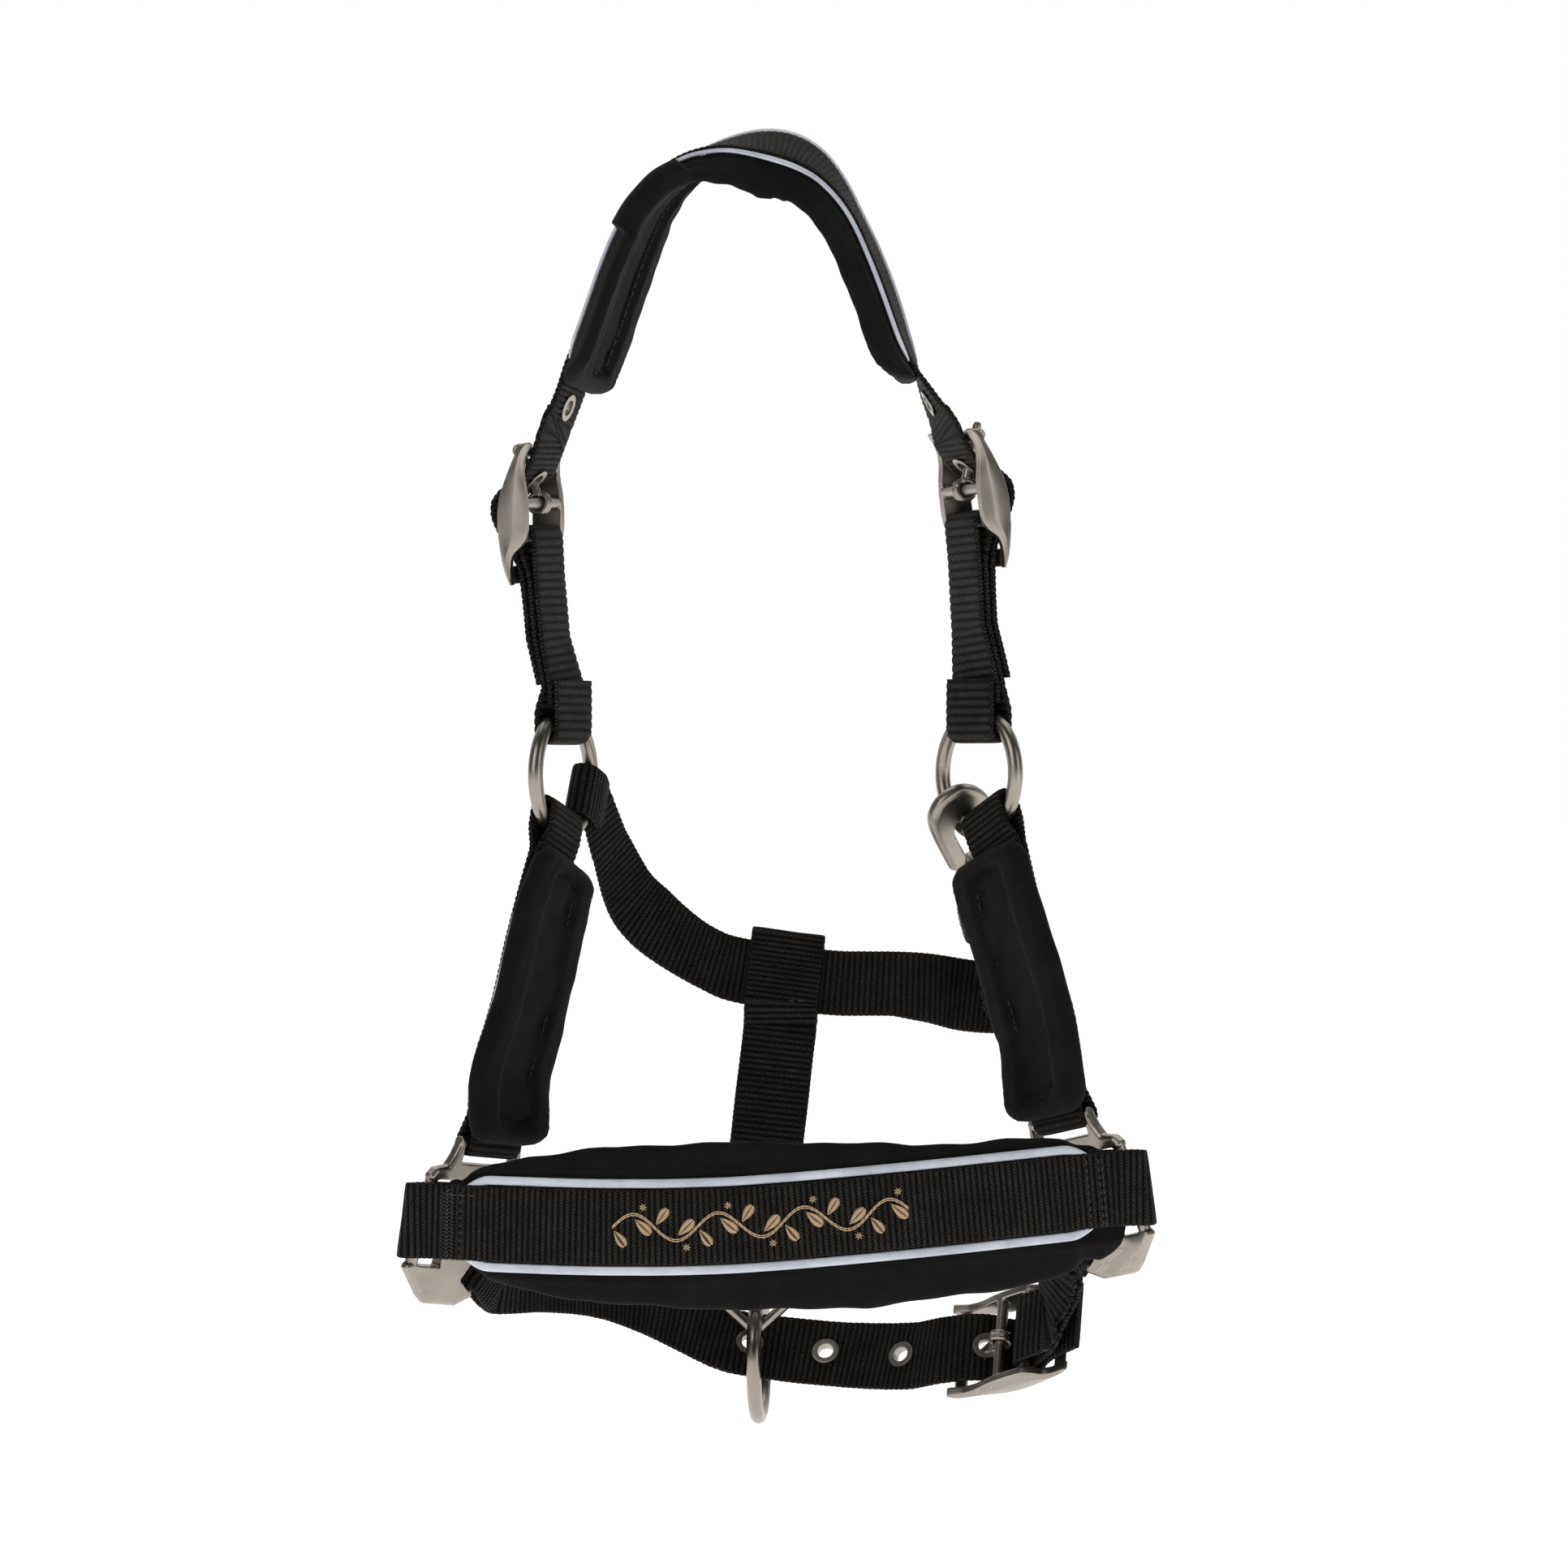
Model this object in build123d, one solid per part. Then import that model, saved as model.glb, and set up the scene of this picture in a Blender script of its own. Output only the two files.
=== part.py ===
from build123d import *
import math
import os

# Padded webbing headcollar: crown piece, two cheek pieces, noseband, chin strap and throat strap.
# Millimetres. +Z up, +X to the right of a viewer who faces the noseband, +Y away from that viewer.
# Origin: the poll rest, under the middle of the crown pad.

# ---- driving dimensions ----
WEB_W = 25.0            # webbing width
WEB_T = 2.2             # webbing thickness
LAYER = 1.15            # half the spacing of two stitched webbing layers
RING_R = 20.0           # mean radius of the round rings
RING_WIRE_R = 2.5
BAR_R = 2.0             # buckle bars
FITTING_T = 4.5         # side fitting plate thickness
PAD_T = 6.0             # neoprene pad thickness
PAD_GAP = 0.1           # between webbing and pad
PIPING_W = 3.0
PIPING_T = 1.4
EYELET_R = 4.6          # outer radius of an eyelet flange
EYELET_HOLE_R = 2.7
EYELET_T = 0.5

UP = Vector(0, 0, 1)


# ---- frames ----
def turned(vector, axis, degrees):
    """vector turned about a unit axis."""
    a = math.radians(degrees)
    sideways = axis.cross(vector) * math.sin(a)
    return vector * math.cos(a) + sideways + axis * axis.dot(vector) * (1 - math.cos(a))


def level(yaw):
    """Horizontal direction: 0 is straight back, positive turns it to the right."""
    return Vector(math.sin(math.radians(yaw)), math.cos(math.radians(yaw)), 0)


class Local:
    """A local frame: u outwards from the head, v along the strap, w across it."""

    def __init__(self, origin, v, w, outward):
        self.o = Vector(*origin)
        self.v = Vector(*v).normalized()
        w = Vector(*w)
        self.w = (w - self.v * w.dot(self.v)).normalized()
        self.u = self.v.cross(self.w) * outward

    def at(self, u, v, w=0.0):
        return self.o + self.u * u + self.v * v + self.w * w

    def row(self, u, v):
        return (self.at(u, v), self.w)


# ---- strap and pad solids ----
def directions(rows):
    """Across and outward directions at each row of a path."""
    found = []
    for i, (point, across) in enumerate(rows):
        before = rows[max(i - 1, 0)][0]
        after = rows[min(i + 1, len(rows) - 1)][0]
        along = (after - before).normalized()
        across = (across - along * across.dot(along)).normalized()
        found.append((across, along.cross(across)))
    return found


def skin(rows, sections):
    """Solid through one polygon per row; a polygon is a list of (across, outward) pairs."""
    wires = []
    for (point, _), (across, out), section in zip(rows, directions(rows), sections):
        corners = [point + across * a + out * b for a, b in section]
        wires.append(Wire.make_polygon(corners, close=True))
    return Solid.make_loft(wires, ruled=True)


def oblong(half_w, low, high, shift=0.0):
    """Rectangular strap section."""
    return [(shift - half_w, low), (shift + half_w, low), (shift + half_w, high), (shift - half_w, high)]


def strap(rows, gathered=None, count=0, start=0):
    """Flat webbing along its middle line; count rows from start are gathered to a narrower width."""
    sections = []
    for i in range(len(rows)):
        width = gathered if start <= i < start + count else WEB_W
        sections.append(oblong(width / 2, -WEB_T / 2, WEB_T / 2))
    return skin(rows, sections)


def pad_section(left, right, outer, thick):
    """Pad section with slanted edges: flat outside, narrower on the skin side."""
    inset = 0.35 * thick
    return [
        (-left, outer - 0.55 * thick),
        (-left + inset, outer - thick),
        (right - inset, outer - thick),
        (right, outer - 0.55 * thick),
        (right - 0.4, outer),
        (-left + 0.4, outer),
    ]


def points(*rows):
    """Path rows from (x, y, z, across x, across y, across z)."""
    return [(Vector(*r[:3]), Vector(*r[3:])) for r in rows]


def smooth(rows, steps):
    """The same path with more rows, rounded through the given ones."""
    made = []
    for i in range(len(rows) - 1):
        four = [rows[max(i - 1, 0)], rows[i], rows[i + 1], rows[min(i + 2, len(rows) - 1)]]
        for k in range(steps):
            t = k / steps
            made.append(tuple(spline([r[j] for r in four], t) for j in (0, 1)))
    made.append(rows[-1])
    return made


def spline(p, t):
    """Catmull-Rom value between the middle two of four vectors."""
    return (
        p[1] * 2
        + (p[2] - p[0]) * t
        + (p[0] * 2 - p[1] * 5 + p[2] * 4 - p[3]) * t**2
        + (p[1] * 3 - p[0] - p[2] * 3 + p[3]) * t**3
    ) * 0.5


def half_turn(frame, u, v, radius, top, steps=6):
    """Rows round a half circle in a local frame, from the inner side to the outer one."""
    made = []
    for k in range(steps + 1):
        a = math.pi * k / steps
        made.append(frame.row(u - radius * math.cos(a), v + top * radius * math.sin(a)))
    return made


# ---- where the hardware sits ----
LEFT_RING = Vector(-69.3, 0, -202.7)
RIGHT_RING = Vector(69.3, 0, -202.2)
LEFT_RING_DIR = level(26)
RIGHT_RING_DIR = level(-36)
LEFT_BAR = Vector(-77.2, 0, -112.1)
RIGHT_BAR = Vector(64.4, 0, -107.7)
LEFT_BUCKLE = Local(LEFT_BAR, LEFT_BAR - LEFT_RING, level(21), 1)
RIGHT_BUCKLE = Local(RIGHT_BAR, RIGHT_BAR - RIGHT_RING, level(-23), -1)
CHIN_BUCKLE = Local((76.8, 10, -391.4), (-0.68, 0.66, -0.32), (0.08, 0.50, 0.86), 1)

STRAP_BAR_U = 1.5       # the second bar of a buckle, which holds the sewn loop
STRAP_BAR_V = -11.0
TOP_BAR_U = -0.2
TOP_BAR_V = 17.6
RAIL_W = 15.6           # middle of a buckle's side rails, across the strap
RAIL_T = 3.2


class Fitting(Local):
    """Frame of a side fitting: its plate lies in w and v, with the front bar at w = 0."""

    def __init__(self, front_bar, yaw, lean, pitch, outward):
        back = level(yaw)
        out = UP.cross(back) * outward
        v = turned(UP, back, lean * outward)
        w = turned(back, out, pitch * outward)
        super().__init__(front_bar, turned(v, out, pitch * outward), w, outward)


LEFT_FITTING = Fitting((-114.6, -50, -348.7), 39, 14, 5, 1)
RIGHT_FITTING = Fitting((118.4, -50, -338.0), -39, 14, 10, -1)
TOP_BAR_MID = (23.75, 27.0)                 # (w, v) of the cheek strap's bar
CHIN_BAR_MID = (37.5, -11.5)                # (w, v) of the chin strap's bar
CHIN_BAR_DIR = (0.53, 0.848)
FITTING_BAR_R = FITTING_T / 2 - 0.1


def bar_frame(fitting, middle):
    """Frame on a fitting's bar: w along the top bar, v across it."""
    w, v = middle
    return Local(fitting.at(0, v, w), fitting.v, fitting.w, 1 if fitting is LEFT_FITTING else -1)


def chin_bar_frame(fitting):
    """Frame on a fitting's chin bar: w along the bar, v towards the fitting's middle."""
    w, v = CHIN_BAR_MID
    along = fitting.w * CHIN_BAR_DIR[0] + fitting.v * CHIN_BAR_DIR[1]
    inwards = fitting.v * CHIN_BAR_DIR[0] - fitting.w * CHIN_BAR_DIR[1]
    return Local(fitting.at(0, v, w), inwards, along, 1 if fitting is LEFT_FITTING else -1)


def ring_frame(centre, direction, angle, outward):
    """Frame at a ring's centre with v along the spoke at that angle, to or from its top half."""
    a = math.radians(angle)
    spoke = direction * math.cos(a) + UP * math.sin(a)
    along = direction * -math.sin(a) + UP * math.cos(a)
    if angle < 0:
        return Local(centre, spoke * -1, along, outward)
    return Local(centre, spoke, along * -1, outward)


RING_LOOP_R = RING_WIRE_R + 0.15 + WEB_T / 2
RING_LOOP_V = math.sqrt((RING_R - RING_WIRE_R) ** 2 - (WEB_W / 2) ** 2) + RING_WIRE_R - 0.1


def ring_loop(frame, away):
    """Loop round a ring's wire, inner leg to outer leg; away is the side the strap leaves to."""
    start = [frame.row(-LAYER, 29 * away), frame.row(-RING_LOOP_R, 21.2 * away)]
    end = [frame.row(RING_LOOP_R, 21.2 * away), frame.row(LAYER, 29 * away)]
    return start + half_turn(frame, 0, RING_LOOP_V * away, RING_LOOP_R, -away, 8) + end


def bar_loop(frame, away, bar_r, reach=10):
    """Loop round a straight bar, inner leg to outer leg."""
    radius = bar_r + 0.12 + WEB_T / 2
    start = [frame.row(-LAYER, reach * away)]
    end = [frame.row(LAYER, reach * away)]
    return start + half_turn(frame, 0, 0, radius, -away, 8) + end


def shifted(rows, distance):
    """A path moved outwards by a distance."""
    made = []
    for (point, across), (_, out) in zip(rows, directions(rows)):
        made.append((point + out * distance, across))
    return made


# ---- crown ----
BUCKLE_PATH = [
    (3.7, -34), (4.0, -25), (4.7, -20), (6.2, -15.5), (8.2, -11.5), (9.7, -7.5), (10.0, -3),
    (8.8, 0.8), (6.3, 4), (3.0, 6.8), (-0.3, 9.8), (-2.8, 13.4), (-4.8, 17.5), (-6.8, 22.5),
]
CROWN_ARCH = points(
    (-71.0, 0, -85.5, 0.34, 0.94, 0),
    (-66.6, 0, -74.2, 0.33, 0.94, 0),
    (-64.2, 0, -66.3, 0.32, 0.95, 0),
    (-60.8, 0, -57.5, 0.31, 0.95, 0),
    (-57.0, 0, -46.8, 0.31, 0.95, 0),
    (-53.3, 0, -36.0, 0.31, 0.95, 0),
    (-49.2, 0, -25.0, 0.30, 0.95, 0.02),
    (-44.0, 0, -13.3, 0.26, 0.95, 0.06),
    (-36.6, 0, -3.3, 0.20, 0.96, 0.12),
    (-26.5, 0, 4.0, 0.10, 0.96, 0.18),
    (-15.0, 0, 7.8, 0.03, 0.96, 0.22),
    (-4.0, 0, 8.7, 0, 0.97, 0.24),
    (6.5, 0, 7.0, 0.02, 0.97, 0.22),
    (15.8, 0, 1.5, 0.06, 0.97, 0.14),
    (23.4, 0, -8.0, 0.10, 0.98, 0.06),
    (28.6, 0, -17.0, 0.13, 0.98, 0.02),
    (32.9, 0, -26.0, 0.15, 0.98, 0),
    (37.2, 0, -36.4, 0.15, 0.98, 0),
    (40.9, 0, -46.9, 0.14, 0.99, 0),
    (44.2, 0, -57.5, 0.12, 0.99, 0),
    (47.3, 0, -65.5, 0.08, 0.99, 0),
    (51.4, 0, -74.2, -0.10, 0.99, 0),
    (55.6, 0, -82.2, -0.24, 0.97, 0),
)
CROWN_PAD_ROWS = slice(2, 21)
LEFT_RING_TOP = ring_frame(LEFT_RING, LEFT_RING_DIR, 90, 1)
RIGHT_RING_TOP = ring_frame(RIGHT_RING, RIGHT_RING_DIR, 90, -1)
TAIL_U = 3.8
TAIL_END = 29


def buckle_rows(frame):
    """Path of a strap with holes through a buckle, from its tail to the strap."""
    return [frame.row(u, v) for u, v in BUCKLE_PATH]


def crown_path():
    left = [LEFT_RING_TOP.row(TAIL_U, TAIL_END), LEFT_BUCKLE.row(TAIL_U, -45)] + buckle_rows(LEFT_BUCKLE)
    right = [RIGHT_RING_TOP.row(TAIL_U, TAIL_END), RIGHT_BUCKLE.row(TAIL_U, -45)] + buckle_rows(RIGHT_BUCKLE)
    return left + CROWN_ARCH + right[::-1]


TONGUE_R = 1.6
TONGUE_LEAN = 15.5      # degrees outwards from the frame's v
TONGUE_L = 23.5
TONGUE_SWING = 8
TONGUE_PLAY = 0.35


def prism(frame, outline, low, high):
    """Solid of an outline in (u, v), from low to high across the strap."""
    face = Face(Wire.make_polygon([frame.at(u, v, low) for u, v in outline], close=True))
    return Solid.extrude(face, frame.w * (high - low))


def tongue_slot(frame):
    """Solid cleared through a strap for the tongue and its swing."""
    half = TONGUE_R + TONGUE_PLAY
    outline = []
    for angle, side, reaches in ((TONGUE_LEAN, -half, (3, 26)), (TONGUE_LEAN + TONGUE_SWING, half, (26, 3))):
        a = math.radians(angle)
        for reach in reaches:
            u = reach * math.sin(a) + side * math.cos(a)
            v = reach * math.cos(a) - side * math.sin(a)
            outline.append((u, v))
    return prism(frame, outline, -half, half)


def hole_plane(row_a, row_b):
    """Plane of an eyelet half way between two path rows: z points outwards."""
    middle = (row_a[0] + row_b[0]) * 0.5
    along = (row_b[0] - row_a[0]).normalized()
    across = row_a[1] - along * row_a[1].dot(along)
    return Plane(origin=middle, x_dir=along, z_dir=along.cross(across))


def disc(plane, radius, low, high):
    """Short cylinder on a plane, from low to high."""
    return Solid.make_cylinder(radius, high - low, plane.offset(low))


def eyelet_hole(plane):
    """Hole and seats cut into a strap for an eyelet."""
    half = WEB_T / 2
    bore = disc(plane, EYELET_HOLE_R + 0.45, -3, 3)
    seats = [disc(plane, EYELET_R + 0.15, low, high) for low, high in ((half, half + 3), (-half - 3, -half))]
    return bore + seats


def eyelet(plane):
    """Rolled metal eyelet: a short tube with a flange on each face of the strap."""
    half = WEB_T / 2 + 0.03
    body = disc(plane, EYELET_HOLE_R + 0.4, -half - 0.1, half + 0.1)
    for low in (half, -half - EYELET_T):
        body = body + disc(plane, EYELET_R, low, low + EYELET_T)
    return body - disc(plane, EYELET_HOLE_R, -4, 4)


def used_eyelet_plane(frame):
    """Plane of the eyelet that the tongue goes through."""
    return hole_plane(frame.row(3.0, 6.8), frame.row(-0.3, 9.8))


def crown_eyelet_planes(side):
    arch = CROWN_ARCH[:2] if side < 0 else CROWN_ARCH[-2:]
    frame = LEFT_BUCKLE if side < 0 else RIGHT_BUCKLE
    return [hole_plane(*arch), used_eyelet_plane(frame)]


def eyelets(planes, frame):
    """Free eyelets and, last, the one that the tongue goes through."""
    return [eyelet(p) for p in planes[:-1]] + [eyelet(planes[-1]) - tongue_slot(frame)]


def crown_strap():
    body = strap(crown_path())
    for frame in (LEFT_BUCKLE, RIGHT_BUCKLE):
        body = body - tongue_slot(frame)
    for plane in crown_eyelet_planes(-1) + crown_eyelet_planes(1):
        body = body - eyelet_hole(plane)
    return body


def end_taper(count, index, ends=(0.62, 0.88)):
    """Share of full width near the ends of a pad with count rows."""
    near = min(index, count - 1 - index)
    return ends[near] if near < len(ends) else 1.0


def crown_pad():
    rows = CROWN_ARCH[CROWN_PAD_ROWS]
    outer = -WEB_T / 2 - PAD_GAP
    sections = []
    for i in range(len(rows)):
        half = 23 * end_taper(len(rows), i)
        sections.append(pad_section(half, half, outer, PAD_T))
    return skin(rows, sections)


def piping(rows, side):
    """Flat reflective strip beside a webbing, on the pad's outer face."""
    low = -WEB_T / 2 + 0.05
    high = low + PIPING_T
    inner = WEB_W / 2 + 0.2
    a, b = sorted((side * inner, side * (inner + PIPING_W)))
    section = [(a, low), (b, low), (b, high), (a, high)]
    return skin(rows, [section] * len(rows))


def crown_piping(side):
    rows = CROWN_ARCH[CROWN_PAD_ROWS][1:-1]
    return piping(rows, side)


# ---- buckles ----
RAIL_OUTER = [
    (-4.2, 20.0), (-1.0, 19.2), (2.0, 14.5), (5.2, 8.5), (7.8, 2.5), (9.1, -4), (9.3, -12), (8.8, -18),
    (7.9, -23), (6.4, -27),
]
RAIL_INNER = [
    (5.6, -26.6), (5.6, -21), (4.4, -17), (1.2, -14.2), (-0.9, -11), (-1.9, -4), (-2.1, 3), (-1.6, 9),
    (-2.2, 14), (-4.0, 17.5), (-5.0, 19.4),
]


def rod(start, end, radius):
    """Cylinder between two points."""
    along = end - start
    return Solid.make_cylinder(radius, along.length, Plane(origin=start, z_dir=along))


def rail(frame, side):
    """One crescent side of a buckle frame, softened along its edges."""
    low = side * RAIL_W - RAIL_T / 2
    outer = Edge.make_spline([frame.at(u, v, low) for u, v in RAIL_OUTER])
    inner = Edge.make_spline([frame.at(u, v, low) for u, v in RAIL_INNER])
    toe = Edge.make_line(outer.position_at(1), inner.position_at(0))
    heel = Edge.make_line(inner.position_at(1), outer.position_at(0))
    body = Solid.extrude(Face(Wire([outer, toe, inner, heel])), frame.w * RAIL_T)
    return body


def buckle_frame(frame):
    """Cast frame: two rails, tip bar, tongue bar, strap bar and the keeper plate."""
    reach = RAIL_W - 0.5
    parts = [rail(frame, -1), rail(frame, 1)]
    for u, v, radius in ((TOP_BAR_U, TOP_BAR_V, 2.2), (0, 0, BAR_R), (STRAP_BAR_U, STRAP_BAR_V, BAR_R)):
        parts.append(rod(frame.at(u, v, -reach), frame.at(u, v, reach), radius))
    keeper = [(5.8, -20.2), (7.7, -20.2), (8.0, -22), (6.2, -26.6), (5.8, -26.2)]
    parts.append(prism(frame, keeper, -reach, reach))
    lug = [(-2.2, 15.6), (1.2, 14.6), (-0.6, 19.2), (-3.6, 19.4)]
    for side in (-1, 1):
        parts.append(prism(frame, lug, side * RAIL_W - RAIL_T / 2, side * RAIL_W + RAIL_T / 2))
    body = parts[0]
    for part in parts[1:]:
        body = body + part
    return body


def tongue(frame):
    """Buckle tongue: an eye round the bar and a pin that rests past the tip bar."""
    a = math.radians(TONGUE_LEAN)
    tip = frame.at(TONGUE_L * math.sin(a), TONGUE_L * math.cos(a))
    root = frame.at(3 * math.sin(a), 3 * math.cos(a))
    width = 4.6
    body = rod(frame.at(0, 0, -width / 2), frame.at(0, 0, width / 2), BAR_R + 2.2)
    body = body + rod(root, tip, TONGUE_R)
    return body - rod(frame.at(0, 0, -width), frame.at(0, 0, width), BAR_R + 0.08)


# ---- upper cheek straps ----
def buckle_loop(buckle):
    """Loop round a buckle's strap bar, inner leg to outer leg."""
    turn = half_turn(buckle, STRAP_BAR_U, STRAP_BAR_V, BAR_R + 0.12 + WEB_T / 2, 1, 8)
    return [buckle.row(-LAYER, -24)] + turn + [buckle.row(LAYER, -24)]


def upper_cheek(buckle, ring):
    """Sewn loop from the buckle's strap bar to the ring's top: its ends meet on the inner side."""
    down = buckle_loop(buckle) + [buckle.row(LAYER, -45)]
    bottom = ring_loop(ring, 1)[::-1]
    return strap([buckle.row(-LAYER, -45)] + down + bottom + [buckle.row(-LAYER, -45.4)])


# ---- rings ----
def ring(centre, direction):
    """Round wire ring whose plane holds up and the given direction."""
    return Solid.make_torus(RING_R, RING_WIRE_R, Plane(origin=centre, z_dir=direction.cross(UP)))


# ---- lower cheek pieces ----
LEFT_RING_LOW = ring_frame(LEFT_RING, LEFT_RING_DIR, -108, 1)
RIGHT_RING_LOW = ring_frame(RIGHT_RING, RIGHT_RING_DIR, -115, -1)
LEFT_TOP_BAR = bar_frame(LEFT_FITTING, TOP_BAR_MID)
RIGHT_TOP_BAR = bar_frame(RIGHT_FITTING, TOP_BAR_MID)
LEFT_CHEEK = points(
    (-90.4, -31.5, -301.5, 0.55, 0.82, -0.12),
    (-87.2, -27.5, -290.0, 0.53, 0.84, -0.12),
    (-84.4, -24.0, -279.2, 0.52, 0.85, -0.12),
    (-82.0, -20.4, -268.6, 0.51, 0.85, -0.13),
    (-79.8, -16.6, -257.9, 0.50, 0.85, -0.15),
    (-77.0, -12.6, -245.5, 0.47, 0.86, -0.18),
)
RIGHT_CHEEK = points(
    (95.7, -28.3, -287.4, -0.57, 0.80, -0.18),
    (92.9, -25.8, -279.6, -0.57, 0.80, -0.18),
    (89.9, -23.0, -271.6, -0.57, 0.80, -0.18),
    (86.9, -20.2, -263.5, -0.57, 0.80, -0.20),
    (83.6, -17.4, -254.5, -0.57, 0.79, -0.22),
    (79.9, -14.2, -243.5, -0.57, 0.78, -0.28),
)
CHEEK_PAD_HALF = 20
CHEEK_GATHER = 22       # strap width where it crowds the ring


def cheek_middle(side):
    """Path between the two layers of a lower cheek strap, bottom to top."""
    bar, ring_low, rows = (LEFT_TOP_BAR, LEFT_RING_LOW, LEFT_CHEEK)
    if side > 0:
        bar, ring_low, rows = (RIGHT_TOP_BAR, RIGHT_RING_LOW, RIGHT_CHEEK)
    return smooth([bar.row(0, 10)] + rows + [ring_low.row(0, -29)], 2)


def sewn_loop(middle, outward, top, bottom, gathered=WEB_W):
    """Two-layer strap between two bars, its ends meeting in the inner layer; the top loop may be gathered."""
    inner = shifted(middle, -LAYER * outward)[1:-1]
    outer = shifted(middle, LAYER * outward)[1:-1]
    joint = len(inner) // 2
    step = (inner[joint][0] - inner[joint - 1][0]).normalized() * 0.4
    end = (inner[joint][0] - step, inner[joint][1])
    rows = inner[joint:] + top + outer[::-1] + bottom[::-1] + inner[:joint] + [end]
    return strap(rows, gathered, len(top) - 2, len(inner) - joint + 1)


def lower_cheek_strap(side):
    """Sewn loop from the ring's foot to the side fitting's top bar."""
    bar, ring_low = (LEFT_TOP_BAR, LEFT_RING_LOW) if side < 0 else (RIGHT_TOP_BAR, RIGHT_RING_LOW)
    loops = ring_loop(ring_low, -1), bar_loop(bar, 1, FITTING_BAR_R)
    return sewn_loop(cheek_middle(side), -side, *loops, CHEEK_GATHER)


def cheek_pad(side):
    middle = cheek_middle(side)[1:-1]
    outward = -side
    outer = -LAYER - WEB_T / 2 - 0.25
    sections = []
    for i in range(len(middle)):
        half = CHEEK_PAD_HALF * end_taper(len(middle), i, (0.7, 0.95))
        section = pad_section(half, half, outer, PAD_T)
        sections.append([(a, b * outward) for a, b in section])
    return skin(middle, sections)


def cheek_piping(side):
    """Reflective strips along both edges of the webbing, on the pad's outer face."""
    rows = shifted(cheek_middle(side)[3:-2], side * LAYER)
    outward = -side
    strips = []
    for edge in (-1, 1):
        strip = []
        for a, b in oblong(PIPING_W / 2, -WEB_T / 2 + 0.2, -WEB_T / 2 + 0.2 + PIPING_T,
                           edge * (WEB_W / 2 + 0.2 + PIPING_W / 2)):
            strip.append((a, b * outward))
        strips.append(skin(rows, [strip] * len(rows)))
    return strips


# ---- side fittings ----
FITTING_OUTLINE = [
    (-2.25, 15.5), (-2.25, -14), (-3.2, -16.5), (6.5, -25.5), (10, -27.8), (25, -27.8), (31.9, -24.7),
    (46.9, -0.7), (46.2, 4), (41, 9), (39.8, 24), (38.6, 28), (36, 29.25), (12, 29.25), (9, 27.8),
    (7.2, 22.5),
    (5.2, 19), (0, 18),
]                                           # (w, v)
FITTING_BARS = [                            # middle (w, v), direction, length, slot width on the plate's side
    ((0, -0.3), (0, 1), 29.4, 10.3),
    (TOP_BAR_MID, (1, 0), 26.3, 4.6),
    (CHIN_BAR_MID, (-CHIN_BAR_DIR[0], -CHIN_BAR_DIR[1]), 26.6, 5.2),
]


def bar_gap(fitting, middle, direction, length, slot):
    """Solid cleared for a strap: the slot, the bar's own place and the open side beyond it."""
    (w, v), (dw, dv) = middle, direction
    corners = []
    for along, across in ((-1, -5), (1, -5), (1, 1), (-1, 1)):
        reach = along * length / 2
        off = across * (FITTING_BAR_R + slot) if across > 0 else across
        corners.append(fitting.at(-9, v + dv * reach - dw * off, w + dw * reach + dv * off))
    return Solid.extrude(Face(Wire.make_polygon(corners, close=True)), fitting.u * 18)


def side_fitting(fitting):
    """Cast plate with three round bars: noseband in front, cheek strap on top, chin strap behind."""
    half = FITTING_T / 2
    face = Face(Wire.make_polygon([fitting.at(-half, v, w) for w, v in FITTING_OUTLINE], close=True))
    body = Solid.extrude(face, fitting.u * FITTING_T)
    layers = body.edges().group_by(Axis(fitting.o, fitting.u))
    body = chamfer(layers[0] + layers[-1], 1.0)
    for middle, direction, length, slot in FITTING_BARS:
        body = body - bar_gap(fitting, middle, direction, length, slot)
    for (w, v), (dw, dv), length, _ in FITTING_BARS:
        reach = length / 2 + 1.6
        ends = [fitting.at(0, v + dv * k, w + dw * k) for k in (-reach, reach)]
        body = body + rod(*ends, FITTING_BAR_R)
    return body


# ---- noseband ----
NOSE_MIDDLE = points(
    (-107.4, -56.0, -348.9, 0.08, -0.06, 1),
    (-95.0, -61.5, -349.3, 0.05, -0.03, 1),
    (-81.7, -66.0, -349.6, 0.03, 0, 1),
    (-68.5, -69.6, -349.9, 0.02, 0, 1),
    (-55.2, -72.0, -350.1, 0, 0, 1),
    (-34.0, -74.5, -350.0, 0, 0, 1),
    (-13.1, -75.5, -349.3, 0, 0, 1),
    (8.0, -75.2, -347.8, 0, 0, 1),
    (29.0, -73.8, -346.0, -0.01, 0, 1),
    (48.0, -71.3, -344.3, -0.02, 0, 1),
    (66.0, -68.0, -342.6, -0.04, 0, 1),
    (80.0, -64.6, -341.2, -0.06, 0, 1),
    (93.5, -60.9, -339.9, -0.09, -0.01, 1),
    (111.3, -55.6, -338.2, -0.10, -0.03, 1),
)
NOSE_INNER_END = {-1: ((-14.9, -6.9), (-9.9, -4.6)), 1: ((-14.7, -5.4), (-9.7, -3.9))}
NOSE_FOLD = [(-5.9, 1.4), (-2.6, 3.9), (0.6, 4.4)]      # (outward, back) from the front bar
NOSE_FOLD_MID = 2.1
NOSE_FOLD_R = 3.7
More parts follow.
